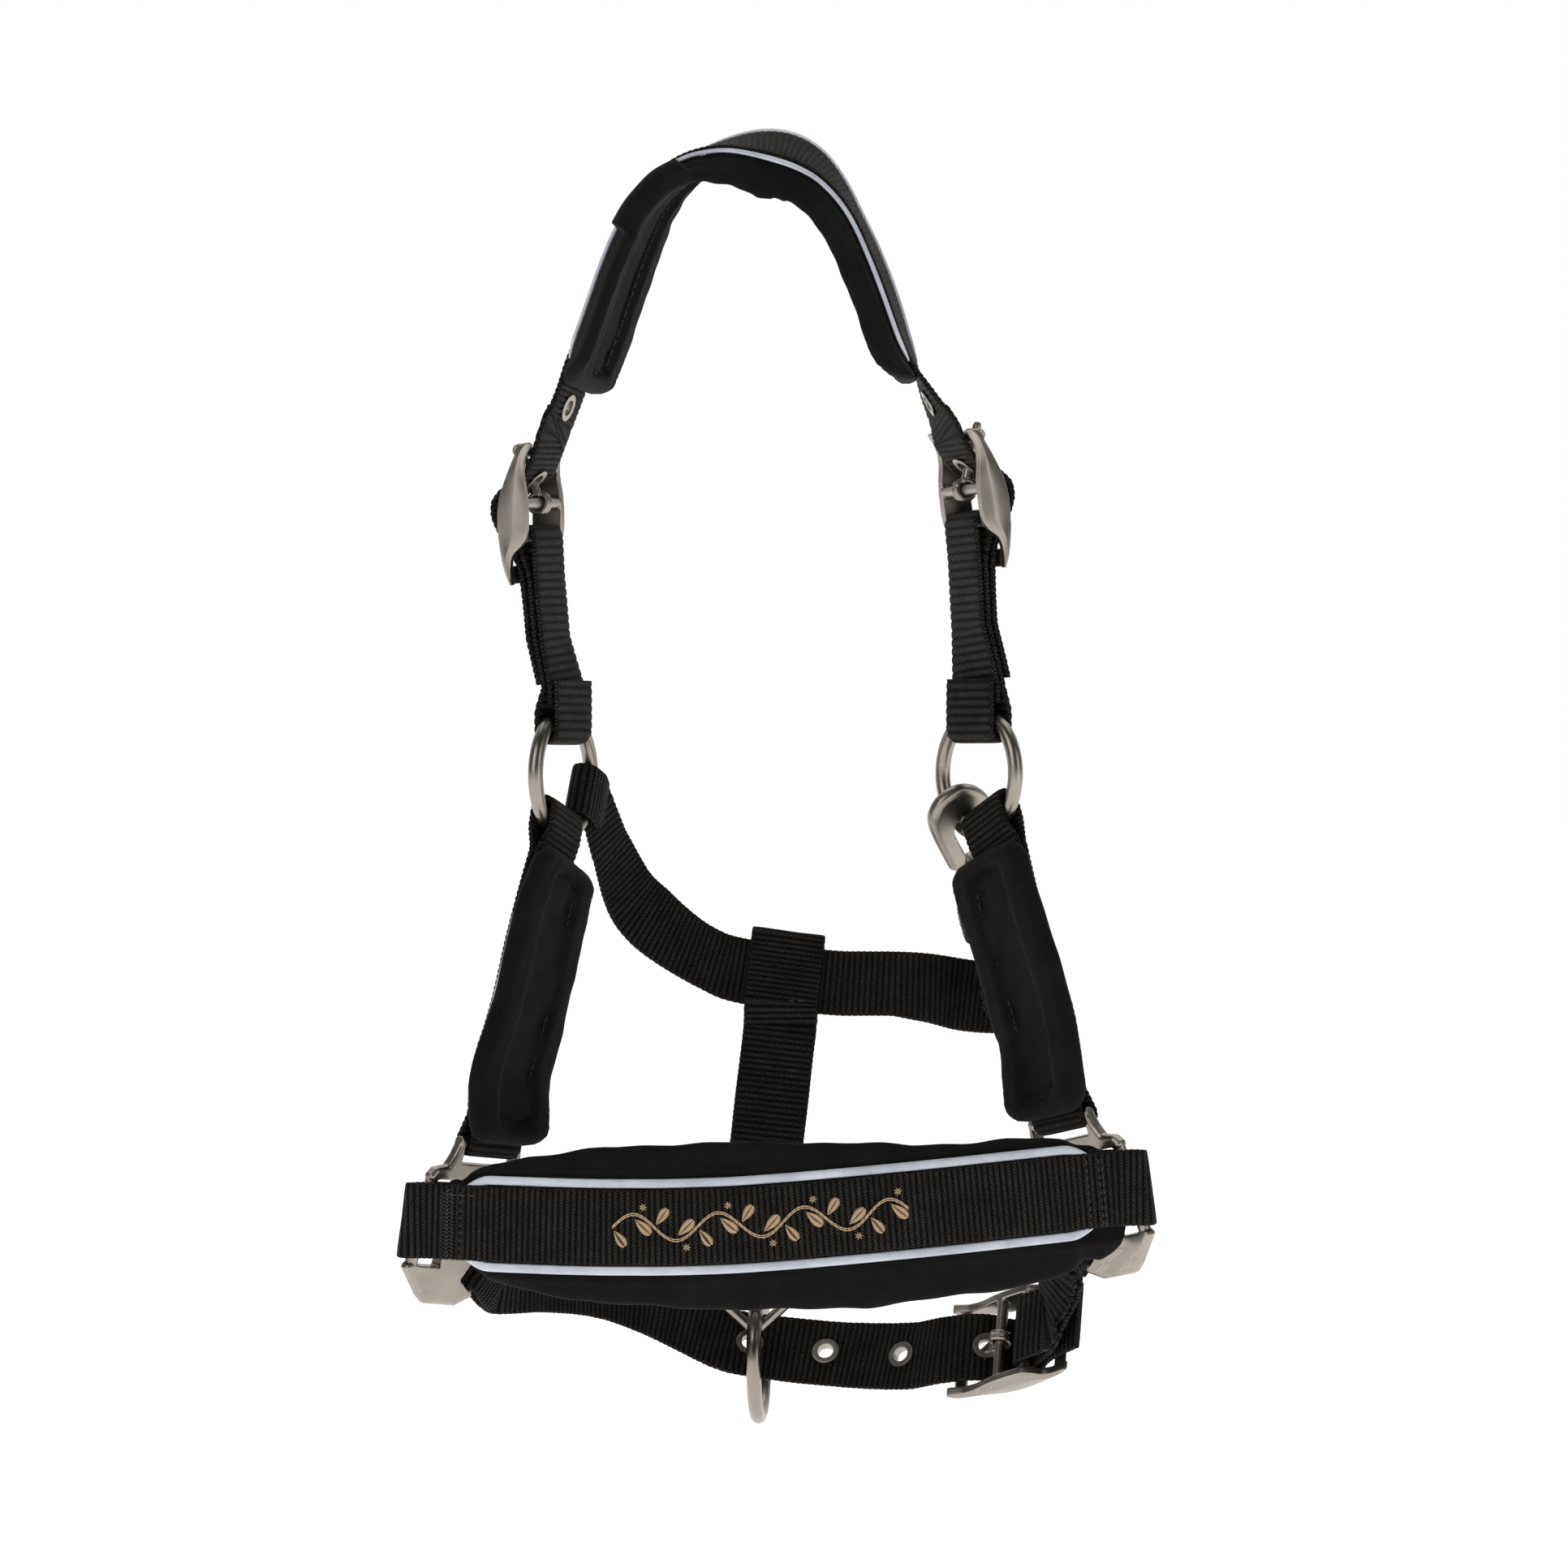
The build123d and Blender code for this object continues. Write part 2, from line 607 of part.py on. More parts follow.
NOSE_PAD_EDGES = [      # x, up from the strap's middle, down from it, sunk behind the folded end
    (-104.5, 13, 11, 2.6), (-99, 17, 16, 2.6), (-93, 19.5, 19, 0), (-81, 22.3, 21.7, 0), (-68, 24, 23.4, 0),
    (-55, 25.8, 25, 0), (-34, 27, 26.4, 0), (-13, 26.8, 27.6, 0), (8, 25.6, 29.4, 0), (29, 23.4, 30.4, 0),
    (48, 21, 30, 0), (66, 19.9, 29.6, 0), (80, 19.4, 28.8, 0), (92, 18.6, 27.4, 0), (98, 17.5, 26, 0),
    (103, 15.5, 23, 2.6), (108, 13, 17, 2.6),
]


def nose_fold(side):
    """Rows round a front bar, from the sewn inner end to the front of the strap."""
    fitting = LEFT_FITTING if side < 0 else RIGHT_FITTING
    lean = Vector(side * -0.13, fitting.v.Y, fitting.v.Z)
    spots = list(NOSE_INNER_END[side]) + NOSE_FOLD
    for k in range(9):
        a = math.pi * (0.5 - k / 8)
        spots.append((NOSE_FOLD_MID + NOSE_FOLD_R * math.cos(a), (NOSE_FOLD_R + 0.4) * math.sin(a)))
    spots.append((-2.5, -4.8))
    return [(fitting.o + Vector(side * out, back, 0), lean) for out, back in spots]


def noseband_strap():
    return strap(nose_fold(-1) + NOSE_MIDDLE + nose_fold(1)[::-1])


def nose_row_at(x):
    """Row of the noseband's middle line at a given x."""
    pairs = zip(NOSE_MIDDLE, NOSE_MIDDLE[1:])
    a, b = next(pair for pair in pairs if pair[0][0].X <= x <= pair[1][0].X)
    t = (x - a[0].X) / (b[0].X - a[0].X)
    return (a[0] * (1 - t) + b[0] * t, a[1] * (1 - t) + b[1] * t)


def noseband_pad():
    rows = [nose_row_at(edge[0]) for edge in NOSE_PAD_EDGES]
    sections = []
    for _, up, down, sunk in NOSE_PAD_EDGES:
        sections.append(pad_section(down, up, -WEB_T / 2 - 0.3 - sunk, PAD_T + 0.8 - sunk / 2))
    return skin(rows, sections)


def noseband_piping(side):
    rows = [nose_row_at(edge[0]) for edge in NOSE_PAD_EDGES[2:-2]]
    return piping(rows, side)


# ---- chin strap ----
LEFT_CHIN_BAR = chin_bar_frame(LEFT_FITTING)
RIGHT_CHIN_BAR = chin_bar_frame(RIGHT_FITTING)
CHIN_ARCH = points(
    (-79.0, 1.5, -369.6, 0.35, 0.45, 0.82),
    (-68.5, 14.0, -370.8, 0.22, 0.50, 0.83),
    (-56.5, 25.8, -374.2, 0.12, 0.54, 0.83),
    (-42.0, 34.8, -380.4, 0.06, 0.55, 0.83),
    (-25.0, 41.5, -389.2, 0.03, 0.55, 0.83),
    (-14.0, 43.7, -394.0, 0, 0.55, 0.83),
    (-1.0, 44.2, -396.1, 0, 0.55, 0.83),
    (11.0, 43.1, -397.5, 0, 0.55, 0.83),
    (26.0, 39.4, -398.5, 0, 0.55, 0.83),
    (40.0, 33.4, -398.6, 0.02, 0.54, 0.84),
    (48.6, 27.8, -398.0, 0.04, 0.52, 0.85),
)
CHIN_EYELET_PAIRS = [(5, 6), (7, 8), (9, 10)]           # rows of the arch on each side of an eyelet


def chin_eyelet_planes():
    """Eyelets turned to face away from the jaw."""
    planes = []
    for a, b in CHIN_EYELET_PAIRS:
        planes.append(hole_plane(CHIN_ARCH[b], CHIN_ARCH[a]))
    return planes + [used_eyelet_plane(CHIN_BUCKLE)]


def chin_strap():
    """Sewn round the left fitting's chin bar, then across and through the chin buckle."""
    body = strap(bar_loop(LEFT_CHIN_BAR, -1, FITTING_BAR_R, 12) + CHIN_ARCH + buckle_rows(CHIN_BUCKLE)[::-1])
    body = body - tongue_slot(CHIN_BUCKLE)
    for plane in chin_eyelet_planes():
        body = body - eyelet_hole(plane)
    return body


def chin_buckle_strap():
    """Sewn loop from the chin buckle to the right fitting's chin bar."""
    middle = smooth([
        RIGHT_CHIN_BAR.row(0, -10),
        (Vector(95.8, -12.6, -366.5), Vector(-0.42, 0.43, 0.80)),
        (Vector(94.9, -9.0, -374.5), Vector(-0.20, 0.47, 0.86)),
        CHIN_BUCKLE.row(0, -24),
    ], 2)
    return sewn_loop(middle, 1, buckle_loop(CHIN_BUCKLE), bar_loop(RIGHT_CHIN_BAR, -1, FITTING_BAR_R))


# ---- throat strap and the strap that hangs from it ----
THROAT_RING = ring_frame(LEFT_RING, LEFT_RING_DIR, -22, 1)
THROAT_ARCH = points(
    (-54.7, 30.0, -225.9, 0.10, 0.52, 0.85),
    (-48.1, 40.0, -242.4, 0.10, 0.50, 0.85),
    (-40.8, 45.0, -251.0, 0.06, 0.50, 0.86),
    (-31.0, 49.6, -259.0, 0.03, 0.50, 0.86),
    (-20.5, 53.2, -265.4, 0.03, 0.50, 0.86),
    (-9.5, 54.9, -269.2, 0.08, 0.50, 0.85),
    (18.5, 56.0, -273.0, 0.08, 0.50, 0.85),
    (30.0, 55.2, -273.4, 0, 0.50, 0.86),
)
THROAT_RISE = points(
    (41.2, 54.0, -273.4, 0, 0.50, 0.86),
    (53.5, 56.6, -275.0, 0, 0.35, 0.94),
    (66.7, 62.9, -277.7, 0.19, 0.20, 0.96),
    (79.2, 57.8, -278.0, 0.09, 0.29, 0.95),
    (80.6, 48.1, -274.0, 0.88, 0.16, 0.45),
)
THROAT_GATHER = 17.8    # strap width where it crowds the ring
SNAP_DOWN = Vector(0.2210, 0.6429, -0.7333)             # from the hook towards the eye
SNAP_ACROSS = Vector(-0.8355, -0.2630, -0.4824)
SNAP_AT = Vector(62.15, 7.71, -220.22)                  # middle of the hook
SNAP_PLANE = Plane(origin=SNAP_AT, x_dir=SNAP_ACROSS, z_dir=SNAP_DOWN.cross(SNAP_ACROSS))
SNAP_T = 4.0
SNAP_EYE_Y = -48
SNAP_EYE = Local(SNAP_AT + SNAP_DOWN * -SNAP_EYE_Y, SNAP_DOWN * -1, SNAP_ACROSS * -1, 1)


def throat_strap():
    """Sewn round the left cheek ring, slack under the throat, sewn round the snap's eye."""
    rise = smooth(THROAT_RISE + [SNAP_EYE.row(-LAYER, -13)], 3)
    end = bar_loop(SNAP_EYE, -1, 2.0)
    return strap(ring_loop(THROAT_RING, -1) + THROAT_ARCH + rise + end, THROAT_GATHER, 11, 1)


JOWL_TOP = Vector(5.7, 62.45, -259.05)                  # above the throat strap's top edge
JOWL_THROUGH = Vector(0.095, 0.504, 0.847)              # up the throat strap's face
JOWL_LEG = Vector(0, -2.24, 1.3)                        # from the throat strap's middle to the front leg
JOWL_FALL = [                                           # rear leg, down to the jowl dee
    (2.9, 50.4, -289.0), (1.8, 49.2, -298.0), (0.4, 47.0, -310.0), (-1.9, 44.0, -330.0), (-4.2, 41.4, -350.0),
    (-5.2, 39.4, -361.5), (-5.5, 37.9, -366.0), (-5.6, 36.8, -369.8),
]
DEE_Y = 39.4
DEE_X = -5.6
DEE_TOP = -372.5
DEE_FOOT = -390.8
DEE_HALF = 20.3
DEE_R = 1.7


def jowl_strap():
    """Sleeve round the throat strap, then a single layer down to the dee, where it is sewn back."""
    along = Vector(0.99, 0.039, -0.134)
    foot = JOWL_TOP - JOWL_THROUGH * 26.6
    rows = [(Vector(3.2, 48.2, -286.8), along), (foot + JOWL_LEG, along)]
    for k in range(9):
        a = math.pi * k / 8
        rows.append((JOWL_TOP + JOWL_LEG * math.cos(a) + JOWL_THROUGH * (2.6 * math.sin(a)), along))
    rows.append((foot - JOWL_LEG, along))
    rows += [(Vector(*spot), Vector(1, 0, 0)) for spot in JOWL_FALL]
    for k in range(9):
        a = math.pi * (1 + k / 8)
        spot = Vector(DEE_X, DEE_Y + 2.95 * math.cos(a), DEE_TOP + 2.95 * math.sin(a))
        rows.append((spot, Vector(1, 0, 0)))
    for y, z in ((41.9, -369.2), (40.9, -365.4), (41.8, -360.6)):
        rows.append((Vector(DEE_X, y, z), Vector(1, 0, 0)))
    return strap(rows)


def vee_ring():
    """Bent wire triangle with its straight side on top."""
    corners = [
        Vector(DEE_X - DEE_HALF, DEE_Y, DEE_TOP),
        Vector(DEE_X + DEE_HALF, DEE_Y, DEE_TOP),
        Vector(DEE_X + 0.2, DEE_Y, DEE_FOOT),
    ]
    body = Solid.make_sphere(DEE_R, Plane(corners[0]))
    for k in range(3):
        body = body + rod(corners[k], corners[k - 1], DEE_R)
        body = body + Solid.make_sphere(DEE_R, Plane(corners[k]))
    return body


LEAD_RING = Vector(-4.2, 51.0, -400.06)
LEAD_RING_DIR = level(5)


# ---- throat snap ----
def snap_shape(sketch, low, high):
    """Extrusion of a flat outline drawn in the snap's own plane."""
    return extrude(SNAP_PLANE.offset(low) * sketch, high - low)


def bar_along_snap(x, y0, y1, radius):
    """Cylinder along the snap's length."""
    start = SNAP_PLANE.from_local_coords(Vector(x, y0, 0))
    end = SNAP_PLANE.from_local_coords(Vector(x, y1, 0))
    return rod(start, end, radius)


BOLT_X = -9.0
BOLT_STROKE = 7.0


def snap_body():
    """Cast hook with an open mouth, the barrel behind it and the eye for the strap."""
    half = SNAP_T / 2
    hook = Circle(13.5) - Pos(-3.5, -0.5) * Circle(5.5) - Pos(-10.4, -6.2) * Rectangle(7.4, 13.6)
    body = snap_shape(hook, -half, half)
    body = body + snap_shape(Pos(-4, -21.5) * RectangleRounded(18, 17.4, 2.5), -4, 4)
    neck = Polygon((-9, -28), (5, -28), (16.3, -36), (-16.3, -36), align=None)
    body = body + snap_shape(neck, -half, half)
    arms = Pos(0, -40.6) * RectangleRounded(32.6, 18.8, 2) - Pos(0, -43.6) * Rectangle(26.4, 15.2)
    body = body + snap_shape(arms, -half, half)
    ends = [SNAP_PLANE.from_local_coords(Vector(x, SNAP_EYE_Y, 0)) for x in (-14.5, 14.5)]
    body = body + rod(*ends, 2.0)
    body = body - bar_along_snap(BOLT_X, -20, -10, 2.15)
    body = body - bar_along_snap(BOLT_X, -29, -14.6, 3.05)
    return body - snap_shape(Pos(-12.6, -19.6) * Rectangle(6, 9.8), -1.35, 1.35)


def snap_bolt():
    """Sliding pin that closes the hook, with its thumb knob."""
    body = bar_along_snap(BOLT_X, -17.5, -0.4, 2.0)
    body = body + bar_along_snap(BOLT_X, -20.2, -17.4, 1.2)
    start = SNAP_PLANE.from_local_coords(Vector(BOLT_X, -16.3, 0))
    end = SNAP_PLANE.from_local_coords(Vector(BOLT_X - 6.6, -16.3, 0))
    tip = SNAP_PLANE.from_local_coords(Vector(BOLT_X - 8.6, -16.3, 0))
    return body + rod(start, end, 1.1) + rod(end, tip, 2.2)


def snap_spring():
    """Return spring behind the bolt's shoulder."""
    turns = 5
    pitch = (29 - 17.5 - 0.7) / turns
    coil = Helix(pitch, pitch * turns, 2.6)
    section = Plane(origin=coil.position_at(0), z_dir=coil.tangent_at(0)) * Circle(0.3)
    spring = sweep(section, coil)
    foot = Plane(origin=SNAP_PLANE.from_local_coords(Vector(BOLT_X, -28.65, 0)), z_dir=SNAP_DOWN * -1)
    return foot * spring


# ---- every node ----

NODES = {
    "crown_strap": crown_strap(),
    "crown_pad": crown_pad(),
    "crown_piping_front": crown_piping(-1),
    "crown_piping_rear": crown_piping(1),
    "crown_eyelets_left": eyelets(crown_eyelet_planes(-1), LEFT_BUCKLE),
    "crown_eyelets_right": eyelets(crown_eyelet_planes(1), RIGHT_BUCKLE),
    "crown_buckle_frame_left": buckle_frame(LEFT_BUCKLE),
    "crown_buckle_frame_right": buckle_frame(RIGHT_BUCKLE),
    "crown_tongue_left": tongue(LEFT_BUCKLE),
    "crown_tongue_right": tongue(RIGHT_BUCKLE),
    "upper_cheek_strap_left": upper_cheek(LEFT_BUCKLE, LEFT_RING_TOP),
    "upper_cheek_strap_right": upper_cheek(RIGHT_BUCKLE, RIGHT_RING_TOP),
    "cheek_ring_left": ring(LEFT_RING, LEFT_RING_DIR),
    "cheek_ring_right": ring(RIGHT_RING, RIGHT_RING_DIR),
    "lower_cheek_strap_left": lower_cheek_strap(-1),
    "lower_cheek_strap_right": lower_cheek_strap(1),
    "cheek_pad_left": cheek_pad(-1),
    "cheek_pad_right": cheek_pad(1),
    "cheek_piping_left": cheek_piping(-1),
    "cheek_piping_right": cheek_piping(1),
    "side_fitting_left": side_fitting(LEFT_FITTING),
    "side_fitting_right": side_fitting(RIGHT_FITTING),
    "noseband_strap": noseband_strap(),
    "noseband_pad": noseband_pad(),
    "noseband_piping_upper": noseband_piping(1),
    "noseband_piping_lower": noseband_piping(-1),
    "chin_strap": chin_strap(),
    "chin_eyelets": eyelets(chin_eyelet_planes(), CHIN_BUCKLE),
    "chin_buckle_frame": buckle_frame(CHIN_BUCKLE),
    "chin_tongue": tongue(CHIN_BUCKLE),
    "chin_buckle_strap": chin_buckle_strap(),
    "throat_strap": throat_strap(),
    "jowl_strap": jowl_strap(),
    "vee_ring": vee_ring(),
    "lead_ring": ring(LEAD_RING, LEAD_RING_DIR),
    "snap_body": snap_body(),
    "snap_bolt": snap_bolt(),
    "snap_spring": snap_spring(),
}
os.makedirs("parts", exist_ok=True)
for name, body in NODES.items():
    if isinstance(body, (list, tuple)):
        body = Compound(children=list(body))
    export_step(body, f"parts/{name}.step")
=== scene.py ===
import math
import bmesh
import bpy
import numpy as np
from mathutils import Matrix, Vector


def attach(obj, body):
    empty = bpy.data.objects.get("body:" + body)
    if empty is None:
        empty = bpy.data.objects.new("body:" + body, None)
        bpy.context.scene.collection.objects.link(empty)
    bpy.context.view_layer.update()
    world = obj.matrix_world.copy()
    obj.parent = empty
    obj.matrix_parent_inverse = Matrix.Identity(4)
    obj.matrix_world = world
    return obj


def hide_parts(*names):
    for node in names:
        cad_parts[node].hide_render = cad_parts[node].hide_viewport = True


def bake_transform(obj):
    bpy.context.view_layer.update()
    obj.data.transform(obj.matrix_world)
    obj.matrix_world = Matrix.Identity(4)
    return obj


# Padded webbing headcollar: the looks. Paths are in millimetres in the model's own frame, meshes in metres.
# +X to the viewer's right, +Y away from the noseband, +Z up, origin under the middle of the crown pad.

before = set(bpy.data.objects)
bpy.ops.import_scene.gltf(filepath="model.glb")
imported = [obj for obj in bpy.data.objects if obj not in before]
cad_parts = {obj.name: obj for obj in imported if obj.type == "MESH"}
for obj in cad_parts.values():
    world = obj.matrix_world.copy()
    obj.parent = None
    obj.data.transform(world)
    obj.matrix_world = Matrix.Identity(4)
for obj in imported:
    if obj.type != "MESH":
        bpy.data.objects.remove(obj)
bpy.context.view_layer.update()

# ---- sizes, as the CAD model has them ----
WEB_W = 25.0
WEB_T = 2.2
LAYER = 1.15
RING_R = 20.0
RING_WIRE_R = 2.5
BAR_R = 2.0
FITTING_T = 4.5
PAD_T = 6.0
UP = Vector((0, 0, 1))


# ---- frames and paths ----
def turned(vector, axis, degrees):
    a = math.radians(degrees)
    c = math.cos(a)
    return vector * c + axis.cross(vector) * math.sin(a) + axis * axis.dot(vector) * (1 - c)


def level(yaw):
    return Vector((math.sin(math.radians(yaw)), math.cos(math.radians(yaw)), 0))


class Local:
    """A local frame: u outwards from the head, v along the strap, w across it."""

    def __init__(self, origin, v, w, outward):
        self.o = Vector(origin)
        self.v = Vector(v).normalized()
        w = Vector(w)
        self.w = (w - self.v * w.dot(self.v)).normalized()
        self.u = self.v.cross(self.w) * outward

    def at(self, u, v, w=0.0):
        return self.o + self.u * u + self.v * v + self.w * w

    def row(self, u, v):
        return (self.at(u, v), self.w)


def directions(rows):
    """Across and outward directions at each row of a path."""
    found = []
    for i, (point, across) in enumerate(rows):
        before = rows[max(i - 1, 0)][0]
        after = rows[min(i + 1, len(rows) - 1)][0]
        along = (after - before).normalized()
        across = (across - along * across.dot(along)).normalized()
        found.append((across, along.cross(across)))
    return found


def points(*rows):
    return [(Vector(r[:3]), Vector(r[3:])) for r in rows]


def smooth(rows, steps):
    """The same path with more rows, rounded through the given ones."""
    made = []
    for i in range(len(rows) - 1):
        four = [rows[max(i - 1, 0)], rows[i], rows[i + 1], rows[min(i + 2, len(rows) - 1)]]
        for k in range(steps):
            made.append(tuple(spline([r[j] for r in four], k / steps) for j in (0, 1)))
    made.append(rows[-1])
    return made


def spline(p, t):
    return (
        p[1] * 2
        + (p[2] - p[0]) * t
        + (p[0] * 2 - p[1] * 5 + p[2] * 4 - p[3]) * t**2
        + (p[1] * 3 - p[0] - p[2] * 3 + p[3]) * t**3
    ) * 0.5


def half_turn(frame_, u, v, radius, top, steps=8):
    made = []
    for k in range(steps + 1):
        a = math.pi * k / steps
        made.append(frame_.row(u - radius * math.cos(a), v + top * radius * math.sin(a)))
    return made


def shifted(rows, distance):
    made = []
    for (point, across), (_, out) in zip(rows, directions(rows)):
        made.append((point + out * distance, across))
    return made


LEFT_RING = Vector((-69.3, 0, -202.7))
RIGHT_RING = Vector((69.3, 0, -202.2))
LEFT_RING_DIR = level(26)
RIGHT_RING_DIR = level(-36)
LEFT_BAR = Vector((-77.2, 0, -112.1))
RIGHT_BAR = Vector((64.4, 0, -107.7))
LEFT_BUCKLE = Local(LEFT_BAR, LEFT_BAR - LEFT_RING, level(21), 1)
RIGHT_BUCKLE = Local(RIGHT_BAR, RIGHT_BAR - RIGHT_RING, level(-23), -1)
CHIN_BUCKLE = Local((76.8, 10, -391.4), (-0.68, 0.66, -0.32), (0.08, 0.50, 0.86), 1)
STRAP_BAR_U = 1.5
STRAP_BAR_V = -11.0


class Fitting(Local):
    def __init__(self, front_bar, yaw, lean, pitch, outward):
        back = level(yaw)
        out = UP.cross(back) * outward
        v = turned(UP, back, lean * outward)
        w = turned(back, out, pitch * outward)
        super().__init__(front_bar, turned(v, out, pitch * outward), w, outward)


LEFT_FITTING = Fitting((-114.6, -50, -348.7), 39, 14, 5, 1)
RIGHT_FITTING = Fitting((118.4, -50, -338.0), -39, 14, 10, -1)
TOP_BAR_MID = (23.75, 27.0)
CHIN_BAR_MID = (37.5, -11.5)
CHIN_BAR_DIR = (0.53, 0.848)
FITTING_BAR_R = FITTING_T / 2 - 0.1


def bar_frame(fitting, middle):
    w, v = middle
    return Local(fitting.at(0, v, w), fitting.v, fitting.w, 1 if fitting is LEFT_FITTING else -1)


def chin_bar_frame(fitting):
    w, v = CHIN_BAR_MID
    along = fitting.w * CHIN_BAR_DIR[0] + fitting.v * CHIN_BAR_DIR[1]
    inwards = fitting.v * CHIN_BAR_DIR[0] - fitting.w * CHIN_BAR_DIR[1]
    return Local(fitting.at(0, v, w), inwards, along, 1 if fitting is LEFT_FITTING else -1)


def ring_frame(centre, direction, angle, outward):
    a = math.radians(angle)
    spoke = direction * math.cos(a) + UP * math.sin(a)
    along = direction * -math.sin(a) + UP * math.cos(a)
    if angle < 0:
        return Local(centre, spoke * -1, along, outward)
    return Local(centre, spoke, along * -1, outward)


RING_LOOP_R = RING_WIRE_R + 0.15 + WEB_T / 2
RING_LOOP_V = math.sqrt((RING_R - RING_WIRE_R) ** 2 - (WEB_W / 2) ** 2) + RING_WIRE_R - 0.1


def ring_loop(frame_, away):
    start = [frame_.row(-LAYER, 29 * away), frame_.row(-RING_LOOP_R, 21.2 * away)]
    end = [frame_.row(RING_LOOP_R, 21.2 * away), frame_.row(LAYER, 29 * away)]
    return start + half_turn(frame_, 0, RING_LOOP_V * away, RING_LOOP_R, -away) + end


def bar_loop(frame_, away, bar_r, reach=10):
    radius = bar_r + 0.12 + WEB_T / 2
    start = [frame_.row(-LAYER, reach * away)]
    end = [frame_.row(LAYER, reach * away)]
    return start + half_turn(frame_, 0, 0, radius, -away) + end


BUCKLE_PATH = [
    (3.5, -34), (3.8, -25), (4.7, -20), (6.2, -15.5), (8.6, -11.5), (10.9, -7.5), (12.3, -3),
    (11.8, 1.6), (8.2, 5.2), (3.0, 6.8), (-0.3, 9.8), (-2.8, 13.4), (-4.8, 17.5), (-6.8, 22.5),
]
CROWN_ARCH = points(
    (-71.0, 0, -85.5, 0.34, 0.94, 0),
    (-66.6, 0, -74.2, 0.33, 0.94, 0),
    (-64.2, 0, -66.3, 0.32, 0.95, 0),
    (-60.8, 0, -57.5, 0.31, 0.95, 0),
    (-57.0, 0, -46.8, 0.31, 0.95, 0),
    (-53.3, 0, -36.0, 0.31, 0.95, 0),
    (-49.2, 0, -25.0, 0.30, 0.95, 0.02),
    (-44.0, 0, -13.3, 0.26, 0.95, 0.04),
    (-36.6, 0, -3.3, 0.20, 0.96, 0.04),
    (-26.5, 0, 4.0, 0.10, 0.96, 0.05),
    (-15.0, 0, 7.4, 0.03, 0.96, 0.14),
    (-4.0, 0, 8.0, 0, 0.95, 0.32),
    (6.5, 0, 6.3, 0.02, 0.93, 0.40),
    (15.8, 0, 1.0, 0.08, 0.94, 0.34),
    (23.4, 0, -8.0, 0.12, 0.97, 0.17),
    (28.6, 0, -17.0, 0.13, 0.98, 0.02),
    (32.9, 0, -26.0, 0.15, 0.98, 0),
    (37.2, 0, -36.4, 0.15, 0.98, 0),
    (40.9, 0, -46.9, 0.14, 0.99, 0),
    (44.2, 0, -57.5, 0.12, 0.99, 0),
    (47.3, 0, -65.5, 0.08, 0.99, 0),
    (51.4, 0, -74.2, -0.10, 0.99, 0),
    (55.6, 0, -82.2, -0.24, 0.97, 0),
)
CROWN_PAD_ROWS = CROWN_ARCH[2:21]
LEFT_RING_TOP = ring_frame(LEFT_RING, LEFT_RING_DIR, 90, 1)
RIGHT_RING_TOP = ring_frame(RIGHT_RING, RIGHT_RING_DIR, 90, -1)
TAIL_U = 3.45
TAIL_END = 31.5


def buckle_rows(buckle):
    return [buckle.row(u, v) for u, v in BUCKLE_PATH]


def crown_path():
    left, right = [
        [ring_top.row(TAIL_U, TAIL_END), buckle.row(TAIL_U, -45)] + buckle_rows(buckle)
        for ring_top, buckle in ((LEFT_RING_TOP, LEFT_BUCKLE), (RIGHT_RING_TOP, RIGHT_BUCKLE))
    ]
    return left + smooth(CROWN_ARCH, 4) + right[-2::-1]


def buckle_loop(buckle):
    turn = half_turn(buckle, STRAP_BAR_U, STRAP_BAR_V, BAR_R + 0.12 + WEB_T / 2, 1)
    return [buckle.row(-LAYER, -24)] + turn + [buckle.row(LAYER, -24)]


LEFT_RING_LOW = ring_frame(LEFT_RING, LEFT_RING_DIR, -108, 1)
RIGHT_RING_LOW = ring_frame(RIGHT_RING, RIGHT_RING_DIR, -115, -1)
LEFT_TOP_BAR = bar_frame(LEFT_FITTING, TOP_BAR_MID)
RIGHT_TOP_BAR = bar_frame(RIGHT_FITTING, (21.75, 27.0))
LEFT_CHEEK = points(
    (-90.4, -31.5, -301.5, 0.55, 0.82, -0.12),
    (-87.2, -27.5, -290.0, 0.53, 0.84, -0.12),
    (-84.4, -24.0, -279.2, 0.52, 0.85, -0.12),
    (-82.0, -20.4, -268.6, 0.51, 0.85, -0.13),
    (-79.8, -16.6, -257.9, 0.50, 0.85, -0.15),
    (-77.0, -12.6, -245.5, 0.47, 0.86, -0.18),
)
RIGHT_CHEEK = points(
    (92.4, -29.5, -287.4, -0.57, 0.80, -0.18),
    (90.4, -26.5, -279.6, -0.57, 0.80, -0.18),
    (88.1, -23.5, -271.6, -0.57, 0.80, -0.18),
    (85.7, -20.6, -263.5, -0.57, 0.80, -0.20),
    (83.0, -17.6, -254.5, -0.57, 0.79, -0.22),
    (79.7, -14.2, -243.5, -0.57, 0.78, -0.28),
)
CHEEK_PAD_HALF = 20
CHEEK_GATHER = 22


def cheek_middle(side):
    bar, ring_low, rows = (LEFT_TOP_BAR, LEFT_RING_LOW, LEFT_CHEEK)
    if side > 0:
        bar, ring_low, rows = (RIGHT_TOP_BAR, RIGHT_RING_LOW, RIGHT_CHEEK)
    return smooth([bar.row(0, 10 if side < 0 else 7)] + rows + [ring_low.row(0, -29)], 2)


